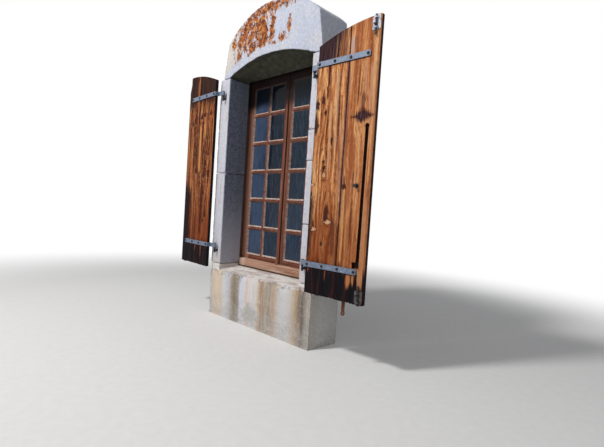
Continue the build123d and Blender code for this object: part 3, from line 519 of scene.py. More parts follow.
# streaks along the grain: middle, half width, foot, head, lean in mm per metre, colour, share
STREAKS = {
    "right": [
        (329, 15, 480, 1560, 0, (0.115, 0.043, 0.045), 0.85),
        (343, 5, 560, 1500, 0, (0.22, 0.095, 0.085), 0.6),
        (322, 9, 150, 520, 0, (0.030, 0.012, 0.011), 0.85),
        (352, 20, 1545, 1700, 0, (0.46, 0.36, 0.33), 0.8),
        (366, 6, 1545, 1700, 0, (0.10, 0.045, 0.050), 0.6),
        (322, 5, 1545, 1680, 0, (0.40, 0.31, 0.29), 0.5),
        (505, 17, 70, 1480, -8, (0.62, 0.34, 0.20), 0.6),
        (530, 12, 1180, 1700, 0, (0.66, 0.38, 0.20), 0.45),
        (526, 18, 50, 640, 0, (0.58, 0.27, 0.125), 0.65),
        (545, 10, 40, 1700, 0, (0.20, 0.075, 0.040), 0.55),
        (358, 11, 210, 760, 0, (0.66, 0.34, 0.13), 0.7),
        (384, 7, 260, 680, 0, (0.56, 0.27, 0.10), 0.5),
        (418, 10, 1215, 1500, -18, (0.085, 0.017, 0.013), 0.85),
        (436, 6, 1240, 1440, -10, (0.13, 0.030, 0.018), 0.6),
        (400, 34, 560, 1080, 0, (0.30, 0.080, 0.032), 0.6),
        (470, 24, 640, 1010, 0, (0.34, 0.100, 0.040), 0.45),
        (423, 12, 330, 640, 0, (0.070, 0.016, 0.012), 0.7),
        (420, 10, 640, 800, 0, (0.060, 0.030, 0.034), 0.6),
        (468, 7, 1200, 1530, 0, (0.45, 0.30, 0.24), 0.6),
        (252, 16, 900, 1500, 12, (0.50, 0.33, 0.21), 0.5),
        (206, 12, 780, 1290, 0, (0.80, 0.50, 0.27), 0.5),
        (92, 18, 820, 1240, 0, (0.42, 0.140, 0.045), 0.55),
        (90, 22, 190, 640, 0, (0.055, 0.015, 0.010), 0.8),
        (76, 14, 190, 720, 0, (0.020, 0.009, 0.008), 0.9),
        (285, 22, 250, 520, 0, (0.050, 0.014, 0.012), 0.7),
        (300, 16, 640, 1160, 0, (0.50, 0.30, 0.21), 0.35),
        (445, 34, 40, 185, 0, (0.56, 0.23, 0.090), 0.7),
        (212, 7, 250, 400, 0, (0.55, 0.23, 0.08), 0.5),
        (150, 9, 250, 400, 0, (0.45, 0.15, 0.05), 0.4),
    ],
    "left": [
        (300, 26, 800, 1300, 0, (0.66, 0.295, 0.100), 0.8),
        (215, 18, 1120, 1300, 0, (0.62, 0.29, 0.10), 0.6),
        (300, 18, 1370, 1500, 0, (0.62, 0.28, 0.10), 0.7),
        (425, 10, 850, 1330, -20, (0.018, 0.007, 0.006), 0.9),
        (322, 9, -30, 820, -30, (0.060, 0.018, 0.012), 0.7),
        (330, 7, 820, 1700, 0, (0.035, 0.012, 0.010), 0.7),
        (225, 24, 230, 760, 0, (0.024, 0.008, 0.006), 0.85),
        (350, 22, 1300, 1420, 0, (0.030, 0.010, 0.008), 0.7),
        (180, 16, 200, 700, 0, (0.36, 0.13, 0.045), 0.45),
        (385, 16, 1440, 1700, 0, (0.30, 0.105, 0.050), 0.6),
        (470, 18, 900, 1290, 0, (0.30, 0.105, 0.045), 0.45),
        (255, 12, 850, 1330, 10, (0.050, 0.016, 0.012), 0.7),
        (160, 20, 560, 780, 0, (0.42, 0.155, 0.055), 0.5),
        (380, 14, 250, 840, 0, (0.33, 0.115, 0.042), 0.5),
        (110, 14, 880, 1290, 0, (0.34, 0.125, 0.045), 0.5),
    ],
}

# sound wood that still shows in the blackened foot: middle, height, half width, half height
FLAMES = {
    "right": [
        (520, 150, 24, 95), (430, 125, 22, 62), (240, 150, 7, 62), (90, 165, 6, 40), (466, 135, 10, 46),
    ],
    "left": [(191, 130, 12, 90), (470, 150, 16, 60), (300, 140, 7, 50)],
}

PINE = {  # colours of the sawn grain, from late wood to early wood
    "right": [
        (0.400, (0.070, 0.015, 0.007)), (0.445, (0.23, 0.058, 0.019)), (0.485, (0.46, 0.155, 0.050)),
        (0.525, (0.65, 0.285, 0.105)), (0.575, (0.84, 0.50, 0.24)),
    ],
    "left": [
        (0.430, (0.018, 0.005, 0.003)), (0.470, (0.080, 0.018, 0.007)), (0.505, (0.205, 0.052, 0.017)),
        (0.54, (0.36, 0.112, 0.034)), (0.58, (0.64, 0.265, 0.095)),
    ],
}

KNOT_HEARTS = {"dark": (0.070, 0.022, 0.015), "red": (0.15, 0.042, 0.022), "pale": (0.80, 0.46, 0.27)}
BOARD_JOINT = 330  # distance of the joint between the two boards from the hinge axis, in mm
STRAP_FEET = (1514, 163)  # heights of the straps' lower edges above the sill, in mm


def leaf_place(g, side):
    """Distance from the hinge axis, height above the sill and distance out from the axis, in mm."""
    x, y, z = g.split(g.place)
    way = -1 if side == "left" else 1
    across, out = math.cos(LEAF_TURN[side]) * 1000, math.sin(LEAF_TURN[side]) * 1000
    from_x = x * way - HINGE[0]
    from_y = y - HINGE[1]
    return from_x * across + from_y * out, (z - SILL) * 1000, from_x * out - from_y * across


def oval(g, u, z, place, halves):
    """Distance from a place on the leaf, 1 on the rim of an oval of those half sizes."""
    away = g.vector("SUBTRACT", g.join(u, z), (*place, 0))
    return g.vector("LENGTH", g.vector("MULTIPLY", away, (1 / halves[0], 1 / halves[1], 0)))


def knots(g, side, u, z, lines, colour):
    """Knots with their rings, cracks and the dark tails that run up the grain from them."""
    speck = g.noise(11.0, 4, 0.65, at=g.join(u, z), seed=10)
    for place_u, place_z, half_u, half_z, kind, tail in SPOTS[side]:
        place = (place_u, place_z)
        ragged = (speck - 0.5) * 1.8
        if tail:
            lean = -8 if kind == "pale" else 0
            half_trail = 19 if kind == "star" else half_u * 0.7
            trail = oval(g, u, z, (place_u + lean, place_z + tail * 0.6), (half_trail, tail * 0.9))
            deep = (0.030, 0.010, 0.009) if kind == "pale" else (0.085, 0.020, 0.014)
            colour = g.mix(g.step(trail + (lines - 0.5) * 1.6, 1.0, 0.45) * 0.8, colour, deep)
        if kind == "star":
            # a diamond with drawn-out points, and rays that follow the grain below it
            across = g.math("ABSOLUTE", u - place_u) * (1 / half_u)
            above = g.math("ABSOLUTE", z - place_z) * (1 / half_z)
            distance = g.math("POWER", across, 0.85) + g.math("POWER", above, 0.85)
            distance = distance + (lines - 0.5) * 2.2 + ragged * 0.5
            colour = g.mix(g.step(distance, 1.45, 1.0) * 0.8, colour, (0.13, 0.034, 0.022))
            heart = g.ramp(lines, (0.42, (0.016, 0.008, 0.010)), (0.60, (0.105, 0.040, 0.040)))
            colour = g.mix(g.step(distance, 1.05, 0.85), colour, heart)
            continue
        centred = g.vector("SUBTRACT", g.join(u, z), (*place, 0))
        off_u, off_z, _ = g.split(centred)
        points = g.math("SINE", g.math("ARCTAN2", off_z, off_u) * (3 + place_z % 3) + place_u)
        distance = oval(g, u, z, place, (half_u, half_z)) + ragged + points * 0.16
        colour = g.mix(g.step(distance, 1.6, 1.0) * 0.85, colour, (0.050, 0.014, 0.010))
        rings = g.math("SINE", distance * 14.0) * 0.5 + 0.5
        ringed = g.mix(rings * 0.6, KNOT_HEARTS[kind], (0.030, 0.011, 0.010))
        colour = g.mix(g.step(distance, 1.0, 0.8), colour, ringed)
    return colour


def shutter_material(side):
    """Weathered pine; u, z and v are the distances that leaf_place gives, in mm."""
    g = Graph(side + "_shutter_pine")
    u, z, v = leaf_place(g, side)
    board = g.step(u, BOARD_JOINT - 0.4, BOARD_JOINT + 0.4)
    flat = g.join(u, z, board * 40.0)
    # the grain runs round each knot as water runs round a pile
    bend = (g.noise((90.0, 700.0, 1.0), 2, 0.5, at=flat, seed=1) - 0.5) * 40
    for place_u, place_z, half_u, *_ in SPOTS[side]:
        size = min(half_u, 34)
        gap = g.vector("MULTIPLY", g.vector("SUBTRACT", g.join(u, z), (place_u, place_z, 0)), (1, 0.3, 0))
        square = g.vector("DOT_PRODUCT", gap, gap)
        bend = bend - (u - place_u) * (size * size * 1.4) / (square + size * size * 0.9)
    warped = g.join(u + bend, z, v * 0.5 + board * 400)
    broad = g.noise((34.0, 1100.0, 60.0), 3, 0.55, at=warped, seed=3)
    bands = g.noise((13.0, 300.0, 20.0), 2, 0.5, at=warped, seed=7)
    lines = g.noise((5.0, 190.0, 9.0), 3, 0.6, at=warped, seed=4)
    fibre = g.noise((2.2, 90.0, 3.0), 2, 0.6, at=warped, seed=5)
    age = g.noise((55.0, 300.0, 60.0), 4, 0.6, at=warped, seed=6)
    flecks = g.noise((8.0, 34.0, 20.0), 2, 0.6, at=warped, seed=11)
    mottle = g.noise((17.0, 52.0, 30.0), 3, 0.65, at=warped, seed=12)
    colour = g.ramp(broad * 0.35 + bands * 0.33 + lines * 0.32, *PINE[side])
    colour = g.mix(g.step(mottle, 0.54, 0.68) * 0.55, colour, (0.17, 0.046, 0.017))
    colour = g.mix(g.step(mottle, 0.44, 0.33) * 0.30, colour, (0.70, 0.38, 0.16))
    colour = g.mix(g.step(lines, 0.54, 0.64) * 0.60, colour, (0.13, 0.034, 0.014))
    colour = g.mix(g.step(age, 0.54, 0.72) * 0.5, colour, (0.26, 0.072, 0.028))
    colour = g.mix(g.step(flecks, 0.59, 0.68) * 0.60, colour, (0.085, 0.024, 0.012))
    colour = g.mix(g.step(flecks, 0.40, 0.31) * 0.30, colour, (0.80, 0.52, 0.30))
    if side == "right":
        colour = g.mix(board * 0.35, colour, (0.47, 0.160, 0.054))
    low = g.step(z + (age - 0.5) * 500, 800, 280)
    colour = g.mix(low * (0.80 - board * 0.35), colour, (0.20, 0.040, 0.010))
    colour = g.mix(g.step(fibre, 0.57, 0.72) * 0.45, colour, (0.09, 0.026, 0.012))
    for middle, half, start, end, lean, tone, share in STREAKS[side]:
        aside = u - middle + (lines - 0.5) * half * 1.6 + (z - (start + end) / 2) * (lean / 1000)
        away = g.math("ABSOLUTE", aside)
        fade = min(60, (end - start) / 3)
        level = z + (bands - 0.5) * 200
        ends = g.step(level, start, start + fade) * g.step(level, end, end - fade)
        patchy = g.step(flecks, 0.30, 0.52) * 0.5 + 0.5
        colour = g.mix(g.step(away, half, half * 0.4) * ends * patchy * share, colour, tone)

    def waver(seed, reach):
        return (g.noise((1e4, 60.0, 1e4), 3, 0.5, at=flat, seed=seed) - 0.5) * reach

    if side == "right":
        # the part of the hinge board above its strap is charred
        above_strap = g.step(z, 1535, 1552)
        rim = g.step(u + (bands - 0.5) * 60, BOARD_JOINT, BOARD_JOINT - 40) * above_strap
        colour = g.mix(rim * 0.6, colour, (0.085, 0.030, 0.024))
        head = g.step(u - (z - 1540) * 0.38 + (bands - 0.5) * 300 + (lines - 0.5) * 60, 275, 180)
        charred = g.ramp(lines, (0.42, (0.010, 0.005, 0.008)), (0.60, (0.065, 0.028, 0.032)))
        colour = g.mix(head * above_strap, colour, charred)
        crack = g.step(g.math("ABSOLUTE", u - 171 + waver(8, 34) + (z - 1400) * -0.05), 9.0, 2.5)
        crack = crack * g.step(z, 1275, 1310) * g.step(z, 1535, 1500)
        fissure = g.step(g.math("ABSOLUTE", u - 496 + waver(9, 10)), 2.4, 0.8) * g.step(z, 176, 166)
        crack = g.math("MAXIMUM", crack, fissure)
        foot_line, soft_foot = 232, 150
    else:
        head = g.step(z + (bands - 0.5) * 420, 1420, 1530)
        head = head * g.step(g.math("ABSOLUTE", u - 385 + (lines - 0.5) * 60), 10, 34)
        charred = g.ramp(lines, (0.44, (0.004, 0.002, 0.003)), (0.62, (0.050, 0.018, 0.012)))
        colour = g.mix(head * 0.94, colour, charred)
        free_side = g.step(u + (bands - 0.5) * 190 + (lines - 0.5) * 60, 405, 450)
        free_side = free_side * g.step(z + (bands - 0.5) * 300, 765, 640)
        colour = g.mix(free_side * 0.97, colour, (0.010, 0.004, 0.004))
        crack = g.step(g.math("ABSOLUTE", u - 246 + waver(8, 20)), 2.5, 0.8) * g.step(z, 380, 300)
        foot_line, soft_foot = 230, 140
    colour = knots(g, side, u, z, lines, colour)
    # the foot is black with rot, and a few flames of sound wood show through it
    foot = g.step(z + (lines - 0.5) * 130 + (broad - 0.5) * 110, foot_line, soft_foot)
    for place_u, place_z, half_u, half_z in FLAMES[side]:
        flame = oval(g, u, z, (place_u, place_z), (half_u, half_z)) + (lines - 0.5) * 1.5
        foot = foot * g.step(flame, 0.55, 1.15)
    rotten = g.ramp(
        bands, (0.38, (0.004, 0.003, 0.005)), (0.60, (0.009, 0.007, 0.009)), (0.70, (0.040, 0.010, 0.009)),
    )
    colour = g.mix(foot, colour, rotten)
    colour = g.mix(crack * 0.92, colour, (0.012, 0.006, 0.005))
    # painted shadow lies along the lower edges of the straps
    for level in STRAP_FEET:
        line = g.step(z, level - 10, level - 4) * g.step(z, level + 2, level)
        line = line * g.step(u, 76, 84) * g.step(u, 500, 490)
        colour = g.mix(line * 0.85, colour, (0.012, 0.009, 0.012))
    # the dark joint between the boards; then painted shade, near black, on the sides of the boards, the
    # walls of the split, the hinge edge and the free edge
    joint = g.step(g.math("ABSOLUTE", u - BOARD_JOINT + (lines - 0.5) * 5), 6, 2)
    colour = g.mix(joint * 0.85, colour, (0.022, 0.010, 0.010))
    # painted shade on the sides of the boards and in the split
    inner = g.step(v, 38.8, 37.0) * g.step(v, 13.6, 14.4)
    colour = g.mix(inner * 0.93, colour, (0.010, 0.006, 0.006))
    # painted shade on the hinge edge and the free edge, and on the strip of face next to the hinge edge
    ends = g.math("MAXIMUM", g.step(u, 69.5, 68.4), g.step(u, 553.0, 553.8))
    ends = g.math("MAXIMUM", ends, g.step(u + (lines - 0.5) * 14, 78, 68) * 0.6)
    colour = g.mix(ends * 0.95, colour, (0.010, 0.008, 0.010))
    # the sheltered back stays darker and greyer
    back = g.step(v, 16, 12.5)
    colour = g.mix(back * 0.5, colour, (0.19, 0.13, 0.095))
    relief = g.bump(lines * 0.8 + fibre * 0.5 - crack * 2.0 - joint * 1.2, 0.0016)
    roughness = g.step(lines, 0.35, 0.7) * 0.15 + 0.66
    return g.shade(colour, roughness, relief, Specular_IOR_Level=0.08)


RIDGE = 0.0055  # spacing of the cuts along the grain
ROW = 0.028  # spacing of the cuts across it
ROWS = 64
LOWEST_ROW = 0.425  # height of the first of those
BOARD_REACH = {"hinge": (0.066, 0.334), "free": (0.320, 0.556)}  # from the hinge axis


def weathered_board(side, board):
    """The board with its weathered grain standing in low ridges, a worn foot and softened edges."""
    node = f"{side}_shutter_{board}_board"
    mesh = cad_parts[node].data.copy()
    way = -1 if side == "left" else 1
    turn = LEAF_TURN[side]
    along = Vector((way * math.cos(turn), math.sin(turn), 0))
    out = Vector((way * math.sin(turn), -math.cos(turn), 0))
    origin = Vector((way * HINGE[0], HINGE[1], 0))
    work = bmesh.new()
    work.from_mesh(mesh)
    bmesh.ops.remove_doubles(work, verts=work.verts, dist=1e-6)
    bmesh.ops.dissolve_limit(work, angle_limit=math.radians(0.5), verts=work.verts, edges=work.edges)
    first, last = BOARD_REACH[board]
    ridges = int((last - first) / RIDGE) + 1
    cuts = [(origin + along * (first + k * RIDGE), along) for k in range(ridges)]
    cuts += [(Vector((0, 0, LOWEST_ROW + k * ROW)), Vector((0, 0, 1))) for k in range(ROWS)]
    for point, normal in cuts:
        whole = work.verts[:] + work.edges[:] + work.faces[:]
        bmesh.ops.bisect_plane(work, geom=whole, plane_co=point, plane_no=normal, dist=1e-5)
    work.to_mesh(mesh)
    work.free()
    p = coordinates(mesh)
    normal = coordinates(mesh, "vertex_normals", "vector")
    from_axis = p - np.array(origin)
    u, v, z = from_axis @ np.array(along), from_axis @ np.array(out), p[:, 2]
    seed = 50 + len(node)
    grain = fractal(np.stack([u / 0.006, v / 0.03, z / 0.35], 1), 1.0, seed, 2)
    cup = fractal(np.stack([u / 0.09, v / 0.5, z / 0.8], 1), 1.0, seed + 4, 2)
    face = np.abs(normal @ np.array(out)) > 0.8
    p -= normal * np.where(face, 0.0002 + 0.0008 * grain + 0.0004 * cup, 0.0003 * grain)[:, None]
    frayed = fractal(np.stack([u / 0.012, v / 0.02, z * 0], 1), 1.0, seed + 8, 3)
    p[:, 2] += np.exp(-((z - z.min()) / 0.012) ** 2) * 0.007 * np.clip(frayed * 2 - 0.7, 0, 1)
    mesh.vertices.foreach_set("co", p.astype(np.float32).ravel())
    mesh.update()
    material = MATERIALS[side + "_leaf"]
    new_piece("weathered_" + node, mesh, material, side + "_shutter", node)


# Frame and casements

def joinery_material(name, along, tones, wear, dirt=0.5):
    """Old painted joinery: grain along one axis, paint worn to pale wood along the lines of the grain."""
    g = Graph(name)
    stretch = {"x": (0.5, 0.008, 0.008), "z": (0.008, 0.008, 0.5), "xz": (0.02, 0.008, 0.02)}[along]
    grain = g.noise(stretch, 4, 0.6, seed=61)
    fine = g.noise(tuple(s / 5 for s in stretch), 3, 0.6, seed=62)
    flakes = g.noise(tuple(min(s, 0.12) * 1.6 for s in stretch), 5, 0.68, seed=63, warp=0.4)
    spots = g.noise(0.03, 4, 0.6, seed=64)
    across, _, height = g.split(g.place)
    colour = g.ramp(grain, (0.33, tones[0]), (0.50, tones[1]), (0.67, tones[2]))
    colour = g.mix(g.step(flakes, 0.55, 0.68) * wear, colour, tones[3])
    colour = g.mix(g.step(fine, 0.58, 0.72) * 0.5, colour, [t * 0.45 for t in tones[0]])
    colour = g.mix(g.step(spots, 0.58, 0.75) * dirt, colour, (0.06, 0.045, 0.042))
    # the outer stile that the sun reaches is bleached; painted shade of the arch darkens the top, and
    # painted shade darkens the foot where the joinery meets the sill
    colour = g.mix(g.step(across, -0.415, -0.43) * (wear * 0.9), colour, tones[3])
    arch_shade = g.step(height + (spots - 0.5) * 0.10, *ARCH_SHADE_LEVELS)
    colour = g.mix(arch_shade * 0.95, colour, (0.008, 0.005, 0.005))
    colour = g.mix(g.step(height, SILL + 0.009, SILL + 0.004) * 0.93, colour, (0.012, 0.008, 0.007))
    # painted shade in the gap where the two leaves meet
    meeting = g.step(g.math("ABSOLUTE", across), 0.0125, 0.006)
    meeting = meeting * g.step(height, SILL + 0.064, SILL + 0.068)
    colour = g.mix(meeting * 0.9, colour, (0.012, 0.006, 0.005))
    relief = g.bump(grain * 0.6 + fine * 0.5 - g.step(flakes, 0.55, 0.60) * 0.6, 0.0012)
    return g.shade(colour, g.step(flakes, 0.45, 0.7) * 0.2 + 0.6, relief, Specular_IOR_Level=0.12)


# each wood's colours: late wood, middle, early wood, worn patches
CASEMENT_TONES = [(0.060, 0.019, 0.013), (0.165, 0.055, 0.034), (0.29, 0.110, 0.068), (0.47, 0.245, 0.17)]
RAIL_TONES = [(0.22, 0.105, 0.065), (0.46, 0.255, 0.170), (0.62, 0.40, 0.30), (0.74, 0.56, 0.47)]
# painted shade: the frame's posts and head are darkened for the shade that lies on them
SHADED_FRAME_TONES = [(0.024, 0.012, 0.010), (0.055, 0.026, 0.019), (0.11, 0.055, 0.038), (0.22, 0.13, 0.095)]


def putty_material():
    g = Graph("old_putty")
    base = g.noise(0.02, 4, 0.6, seed=71)
    colour = g.ramp(
        base, (0.32, (0.36, 0.22, 0.17)), (0.5, (0.56, 0.41, 0.345)), (0.68, (0.74, 0.65, 0.60)),
    )
    cracks = g.step(g.cells(0.012, seed=72, feature="DISTANCE_TO_EDGE"), 0.05, 0.01)
    colour = g.mix(cracks * 0.7, colour, (0.14, 0.09, 0.075))
    colour = g.mix(g.step(g.noise(0.05, 3, 0.6, seed=73), 0.58, 0.68) * 0.6, colour, (0.22, 0.10, 0.075))
    facing = Wire(g, g.place.socket.node.outputs["Normal"])
    to_right, _, upward = g.split(facing)
    # painted light: the putty shows pale on faces that look up or to the right, where the light falls, and
    # takes the brown paint elsewhere
    painted_light_top = g.step(upward + (base - 0.5) * 0.5, 0.25, 0.5)
    painted_light_side = g.step(to_right + (base - 0.5) * 1.2, 0.30, 0.8) * 0.45
    paint = g.noise(0.03, 4, 0.6, seed=74)
    painted = g.ramp(paint, (0.35, (0.12, 0.050, 0.038)), (0.65, (0.25, 0.13, 0.10)))
    colour = g.mix(g.math("MAXIMUM", painted_light_top, painted_light_side), painted, colour)
    height = g.split(g.place)[2]
    # painted shade of the arch darkens the putty towards the top
    arch_shade = g.step(height + (base - 0.5) * 0.1, *ARCH_SHADE_LEVELS)
    colour = g.mix(arch_shade * 0.90, colour, (0.014, 0.009, 0.008))
    return g.shade(colour, 0.8, g.bump(base - cracks * 0.8, 0.0009))


GLAZED_HALF = 0.47  # half the width over all four columns of panes


def glass_material():
    """Old drawn glass, slightly wavy, each pane a little different; the dark room behind and a reflection
    are painted into its colour.
    """
    g = Graph("old_window_glass")
    x, _, z = g.split(g.place)
    # painted reflection and painted dark room: each column of panes has its own tone, bluish and lighter
    # in the left column, near black elsewhere
    reflection_by_column = g.ramp(
        (x + GLAZED_HALF) / (2 * GLAZED_HALF),
        (0.0, (0.050, 0.078, 0.138)), (0.235, (0.034, 0.056, 0.108)),
        (0.25, (0.004, 0.006, 0.010)), (0.49, (0.006, 0.009, 0.017)),
        (0.51, (0.009, 0.018, 0.030)), (0.74, (0.012, 0.022, 0.036)),
        (0.76, (0.018, 0.030, 0.050)), (1.0, (0.016, 0.027, 0.045)),
    )
    # painted reflection: the panes grow lighter and bluer towards the bottom, most in the left casement
    low = g.step(z, SILL + 1.1, SILL + 0.1)
    colour = g.mix(low * (g.step(x, -0.20, -0.26) * 0.35 + 0.35), reflection_by_column, (0.062, 0.090, 0.150))
    panes = g.noise((0.21, 0.5, 0.245), 0, 0.5, seed=84)
    colour = g.mix(g.step(panes, 0.45, 0.7) * 0.35, colour, (0.010, 0.020, 0.038))
    streaks = g.noise((0.012, 0.02, 0.09), 4, 0.65, seed=81)
    haze = g.step(streaks, 0.46, 0.70)
    colour = g.mix(haze * 0.30, colour, (0.085, 0.125, 0.195))
    colour = g.mix(g.step(streaks, 0.46, 0.34) * 0.35, colour, (0.012, 0.020, 0.036))
    # painted shade of the arch darkens the upper panes
    arch_shade = g.step(z + (panes - 0.5) * 0.1, SILL + 1.40, SILL + 1.50)
    colour = g.mix(arch_shade * 0.85, colour, (0.003, 0.005, 0.008))
    dust = g.step(g.noise(0.004, 3, 0.7, seed=82), 0.60, 0.70)
    colour = g.mix(dust * 0.12, colour, (0.35, 0.36, 0.38))
    relief = g.bump(g.noise((0.10, 0.02, 0.16), 2, 0.4, seed=83), 0.0012)
    roughness = haze * 0.12 + 0.05
    return g.shade(colour, roughness, relief, IOR=1.45, Specular_IOR_Level=0.10, Transmission_Weight=0.04)


# Metal

def iron_material(name, tones, metallic, roughness, rust, relief, spangle=0.0):
    """Iron with scratches and rust, and with the crystals of zinc where spangle is given."""
    g = Graph(name)
    cloud = g.noise(0.02, 5, 0.62, seed=91)
    spread = g.noise(0.05, 4, 0.6, seed=92)
    colour = g.ramp(cloud, (0.3, tones[0]), (0.5, tones[1]), (0.7, tones[2]))
    if spangle:
        flower = g.cells(0.009, seed=93, output=1)
        colour = g.mix(spangle, colour, g.mix(0.75, flower, (0.5, 0.5, 0.5)), "OVERLAY")
        white = g.step(g.noise((0.05, 0.05, 0.012), 4, 0.7, seed=94), 0.60, 0.70)
        colour = g.mix(white * 0.35, colour, (0.55, 0.60, 0.68))
    scratches = g.step(g.noise((0.09, 0.02, 0.0012), 2, 0.5, seed=95), 0.64, 0.70)
    colour = g.mix(scratches * 0.3, colour, [min(1, t * 1.9) for t in tones[2]])
    rusty = g.step(spread + cloud * 0.25, 0.70 - rust * 0.35, 0.80 - rust * 0.35)
    scale = g.noise(0.005, 4, 0.7, seed=96)
    flaking = g.ramp(scale, (0.35, (0.065, 0.024, 0.012)), (0.65, (0.25, 0.085, 0.030)))
    colour = g.mix(rusty * 0.8, colour, flaking)
    normal = g.bump(cloud * 0.6 + g.noise(0.0025, 3, 0.6, seed=97) * 0.6 + rusty * 0.5, relief)
    dullness = rusty * 0.25 + g.step(cloud, 0.2, 0.8) * 0.15 + roughness
    return g.shade(colour, dullness, normal, Metallic=metallic)


# each iron's colours: hollows, middle, raised parts
ZINC_TONES = [(0.115, 0.145, 0.205), (0.165, 0.205, 0.285), (0.23, 0.28, 0.37)]
FORGED_TONES = [(0.012, 0.012, 0.015), (0.030, 0.030, 0.034), (0.07, 0.068, 0.07)]
RUST_TONES = [(0.05, 0.022, 0.014), (0.11, 0.045, 0.025), (0.19, 0.08, 0.04)]
BARE_TONES = [(0.20, 0.21, 0.26), (0.37, 0.39, 0.46), (0.54, 0.57, 0.65)]
WORN_TONES = [(0.020, 0.018, 0.020), (0.06, 0.058, 0.062), (0.20, 0.195, 0.20)]
BOLT_TONES = [(0.035, 0.030, 0.030), (0.06, 0.052, 0.05), (0.10, 0.09, 0.085)]

MATERIALS = {
    "jamb": jamb_material(),
    "lintel": lintel_material(),
    "sill": sill_material(),
    "left_leaf": shutter_material("left"),
    "right_leaf": shutter_material("right"),
    "stile": joinery_material("casement_upright_wood", "z", CASEMENT_TONES, 0.55),
    "rail": joinery_material("casement_rail_wood", "x", CASEMENT_TONES, 0.5),
    "bars": joinery_material("glazing_bar_wood", "xz", CASEMENT_TONES, 0.6),
    "sill_rail": joinery_material("frame_sill_wood", "x", RAIL_TONES, 0.55, 0.35),
    "post": joinery_material("frame_post_wood", "z", SHADED_FRAME_TONES, 0.3),
    "head": joinery_material("frame_head_wood", "x", SHADED_FRAME_TONES, 0.2),
    "putty": putty_material(),
    "glass": glass_material(),
    "galvanised": iron_material("galvanised_iron", ZINC_TONES, 0.3, 0.48, -0.6, 0.0004, 0.3),
    "dark_iron": iron_material("forged_dark_iron", FORGED_TONES, 0.5, 0.42, -0.4, 0.0008),
    "rusty": iron_material("rusty_iron", RUST_TONES, 0.3, 0.62, 0.75, 0.0012),
    "plate": iron_material("bare_iron_plate", BARE_TONES, 0.3, 0.48, 0.05, 0.0004, 0.2),
    "worn_plate": iron_material("worn_iron_plate", WORN_TONES, 0.3, 0.55, 0.2, 0.0006),
    "bolt": iron_material("painted_bolt_iron", BOLT_TONES, 0.2, 0.45, 0.15, 0.0005),
}

NODE_LOOKS = {
    "frame_left_post": "post", "frame_right_post": "post", "frame_head": "head",
    "frame_sill_rail": "sill_rail", "casement_hinge_pins": "bolt", "cremone_keeps": "bolt",
    "left_shutter_catches": "dark_iron", "right_shutter_pull": "dark_iron",
    "right_shutter_iron_tail": "rusty", "top_bolt_plate": "plate", "bottom_bolt_plate": "worn_plate",
    "top_bolt_rod": "dark_iron", "bottom_bolt_rod": "dark_iron", "cremone_case": "bolt",
    "cremone_guides": "bolt", "cremone_knob": "bolt", "cremone_upper_rod": "bolt",
    "cremone_lower_rod": "bolt",
}
CASEMENT_LOOKS = {
    "outer_stile": "stile", "meeting_stile": "stile", "top_rail": "rail", "bottom_rail": "rail",
    "glazing_bars": "bars", "panes": "glass", "putty": "putty", "hinge_leaves": "bolt",
}
JAMB_STONES = [
    "left_jamb_stone_1", "left_jamb_stone_2", "right_jamb_stone_1", "right_jamb_stone_2",
    "right_jamb_stone_3", "right_jamb_stone_4",
]
for side in ("left", "right"):
    for level in ("upper", "lower"):
        NODE_LOOKS[f"{side}_{level}_pintle"] = "dark_iron"
        NODE_LOOKS[f"{side}_shutter_{level}_strap"] = "galvanised"
        NODE_LOOKS[f"{side}_shutter_{level}_strap_bolts"] = "dark_iron"
    for part, look in CASEMENT_LOOKS.items():
        NODE_LOOKS[f"{side}_casement_{part}"] = look
for node, look in NODE_LOOKS.items():
    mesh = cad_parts[node].data
    mesh.materials.clear()
    mesh.materials.append(MATERIALS[look])

worn_stone("sill_block", MATERIALS["sill"], seed=11)
worn_stone("arch_lintel", MATERIALS["lintel"], seed=23)
for number, node in enumerate(JAMB_STONES):
    worn_stone(node, MATERIALS["jamb"], seed=31 + 7 * number)
for side in ("left", "right"):
    for board in ("hinge", "free"):
        weathered_board(side, board)


# Stage

FLOOR_HALF = 9.0
WINDOW_MIDDLE = (0, 0, 1.3)


def stage_floor():
    g = Graph("pale_floor")
    far = g.step(g.vector("LENGTH", g.place), 2.6, 5.5)
    grain = g.noise(0.05, 4, 0.6, seed=99)
    pale = g.ramp(grain, (0.3, (0.80, 0.80, 0.80)), (0.7, (0.84, 0.84, 0.84)))
    g.shade(pale, 0.9, g.bump(grain, 0.0005))
    surface = g.nodes["Principled BSDF"]
    glow = g.nodes.new("ShaderNodeEmission")
    glow.inputs["Strength"].default_value = 1.0
    rays = g.nodes.new("ShaderNodeLightPath")
    blend = g.nodes.new("ShaderNodeMixShader")
    g.feed(blend.inputs[0], far * Wire(g, rays.outputs["Is Camera Ray"]))
    g.links.new(surface.outputs[0], blend.inputs[1])
    g.links.new(glow.outputs[0], blend.inputs[2])
    g.links.new(blend.outputs[0], g.nodes["Material Output"].inputs["Surface"])
    mesh = bpy.data.meshes.new("floor")
    work = bmesh.new()
    bmesh.ops.create_grid(work, x_segments=12, y_segments=12, size=FLOOR_HALF)
    work.to_mesh(mesh)
    work.free()
    floor = bpy.data.objects.new("floor", mesh)
    bpy.context.scene.collection.objects.link(floor)
    mesh.materials.append(g.material)


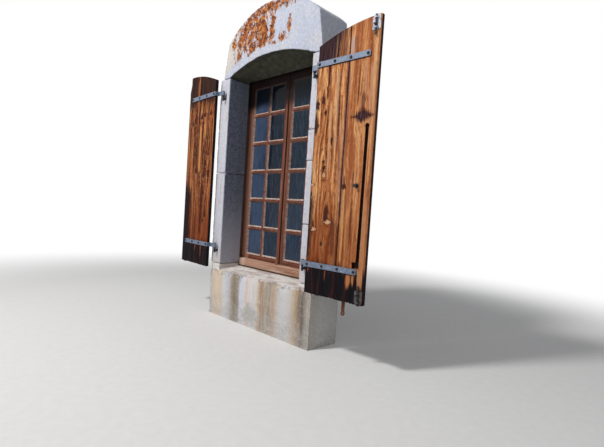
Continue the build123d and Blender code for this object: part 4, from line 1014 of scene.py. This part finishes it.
def white_world(strength):
    """White to the camera, to reflections and through glass, and plain soft light on everything else."""
    world = bpy.data.worlds.new("studio")
    bpy.context.scene.world = world
    world.use_nodes = True
    nodes, links = world.node_tree.nodes, world.node_tree.links
    nodes.clear()
    rays = nodes.new("ShaderNodeLightPath")
    seen = nodes.new("ShaderNodeMath")
    seen.operation = "MAXIMUM"
    links.new(rays.outputs["Is Camera Ray"], seen.inputs[0])
    more = nodes.new("ShaderNodeMath")
    more.operation = "MAXIMUM"
    links.new(rays.outputs["Is Glossy Ray"], more.inputs[0])
    links.new(rays.outputs["Is Transmission Ray"], more.inputs[1])
    links.new(more.outputs[0], seen.inputs[1])
    soft = nodes.new("ShaderNodeBackground")
    soft.inputs["Color"].default_value = (0.97, 0.98, 1.0, 1.0)
    soft.inputs["Strength"].default_value = strength
    plain = nodes.new("ShaderNodeBackground")
    plain.inputs["Color"].default_value = (1.0, 1.0, 1.0, 1.0)
    plain.inputs["Strength"].default_value = 1.0
    blend = nodes.new("ShaderNodeMixShader")
    links.new(seen.outputs[0], blend.inputs[0])
    links.new(soft.outputs[0], blend.inputs[1])
    links.new(plain.outputs[0], blend.inputs[2])
    out = nodes.new("ShaderNodeOutputWorld")
    links.new(blend.outputs[0], out.inputs["Surface"])


def lamp(name, place, target, size, power, colour=(1.0, 1.0, 1.0)):
    data = bpy.data.lights.new(name, "AREA")
    data.shape = "DISK"
    data.size = size
    data.energy = power
    data.color = colour
    obj = bpy.data.objects.new(name, data)
    obj.location = place
    obj.rotation_euler = (Vector(target) - Vector(place)).to_track_quat("-Z", "Y").to_euler()
    bpy.context.scene.collection.objects.link(obj)


def photo_camera():
    """The camera of the photograph, found from the window's own lines."""
    yaw, pitch, roll = (math.radians(a) for a in (-44.859, -1.942, 3.687))
    picture_width = 604
    focal = 414.13  # in the same units
    forward = Vector((math.sin(yaw) * math.cos(pitch), math.cos(yaw) * math.cos(pitch), math.sin(pitch)))
    level = Vector((math.cos(yaw), -math.sin(yaw), 0))
    upright = level.cross(forward)
    right = level * math.cos(roll) + upright * math.sin(roll)
    up = upright * math.cos(roll) - level * math.sin(roll)
    data = bpy.data.cameras.new("camera")
    data.sensor_width = 36.0
    data.lens = focal / picture_width * data.sensor_width
    data.clip_end = 100
    camera = bpy.data.objects.new("camera", data)
    axes = Matrix((right, up, -forward)).transposed().to_4x4()
    camera.matrix_world = Matrix.Translation((2.602009, -2.10869, SILL + 0.550241)) @ axes
    bpy.context.scene.collection.objects.link(camera)
    bpy.context.scene.camera = camera


stage_floor()
white_world(0.28)
lamp("key", (-0.9, -4.0, 5.7), WINDOW_MIDDLE, 0.8, 282, (1.0, 0.985, 0.96))
lamp("fill", (3.6, -4.2, 2.6), WINDOW_MIDDLE, 3.0, 24)
photo_camera()
bpy.context.scene.view_settings.view_transform = "Standard"
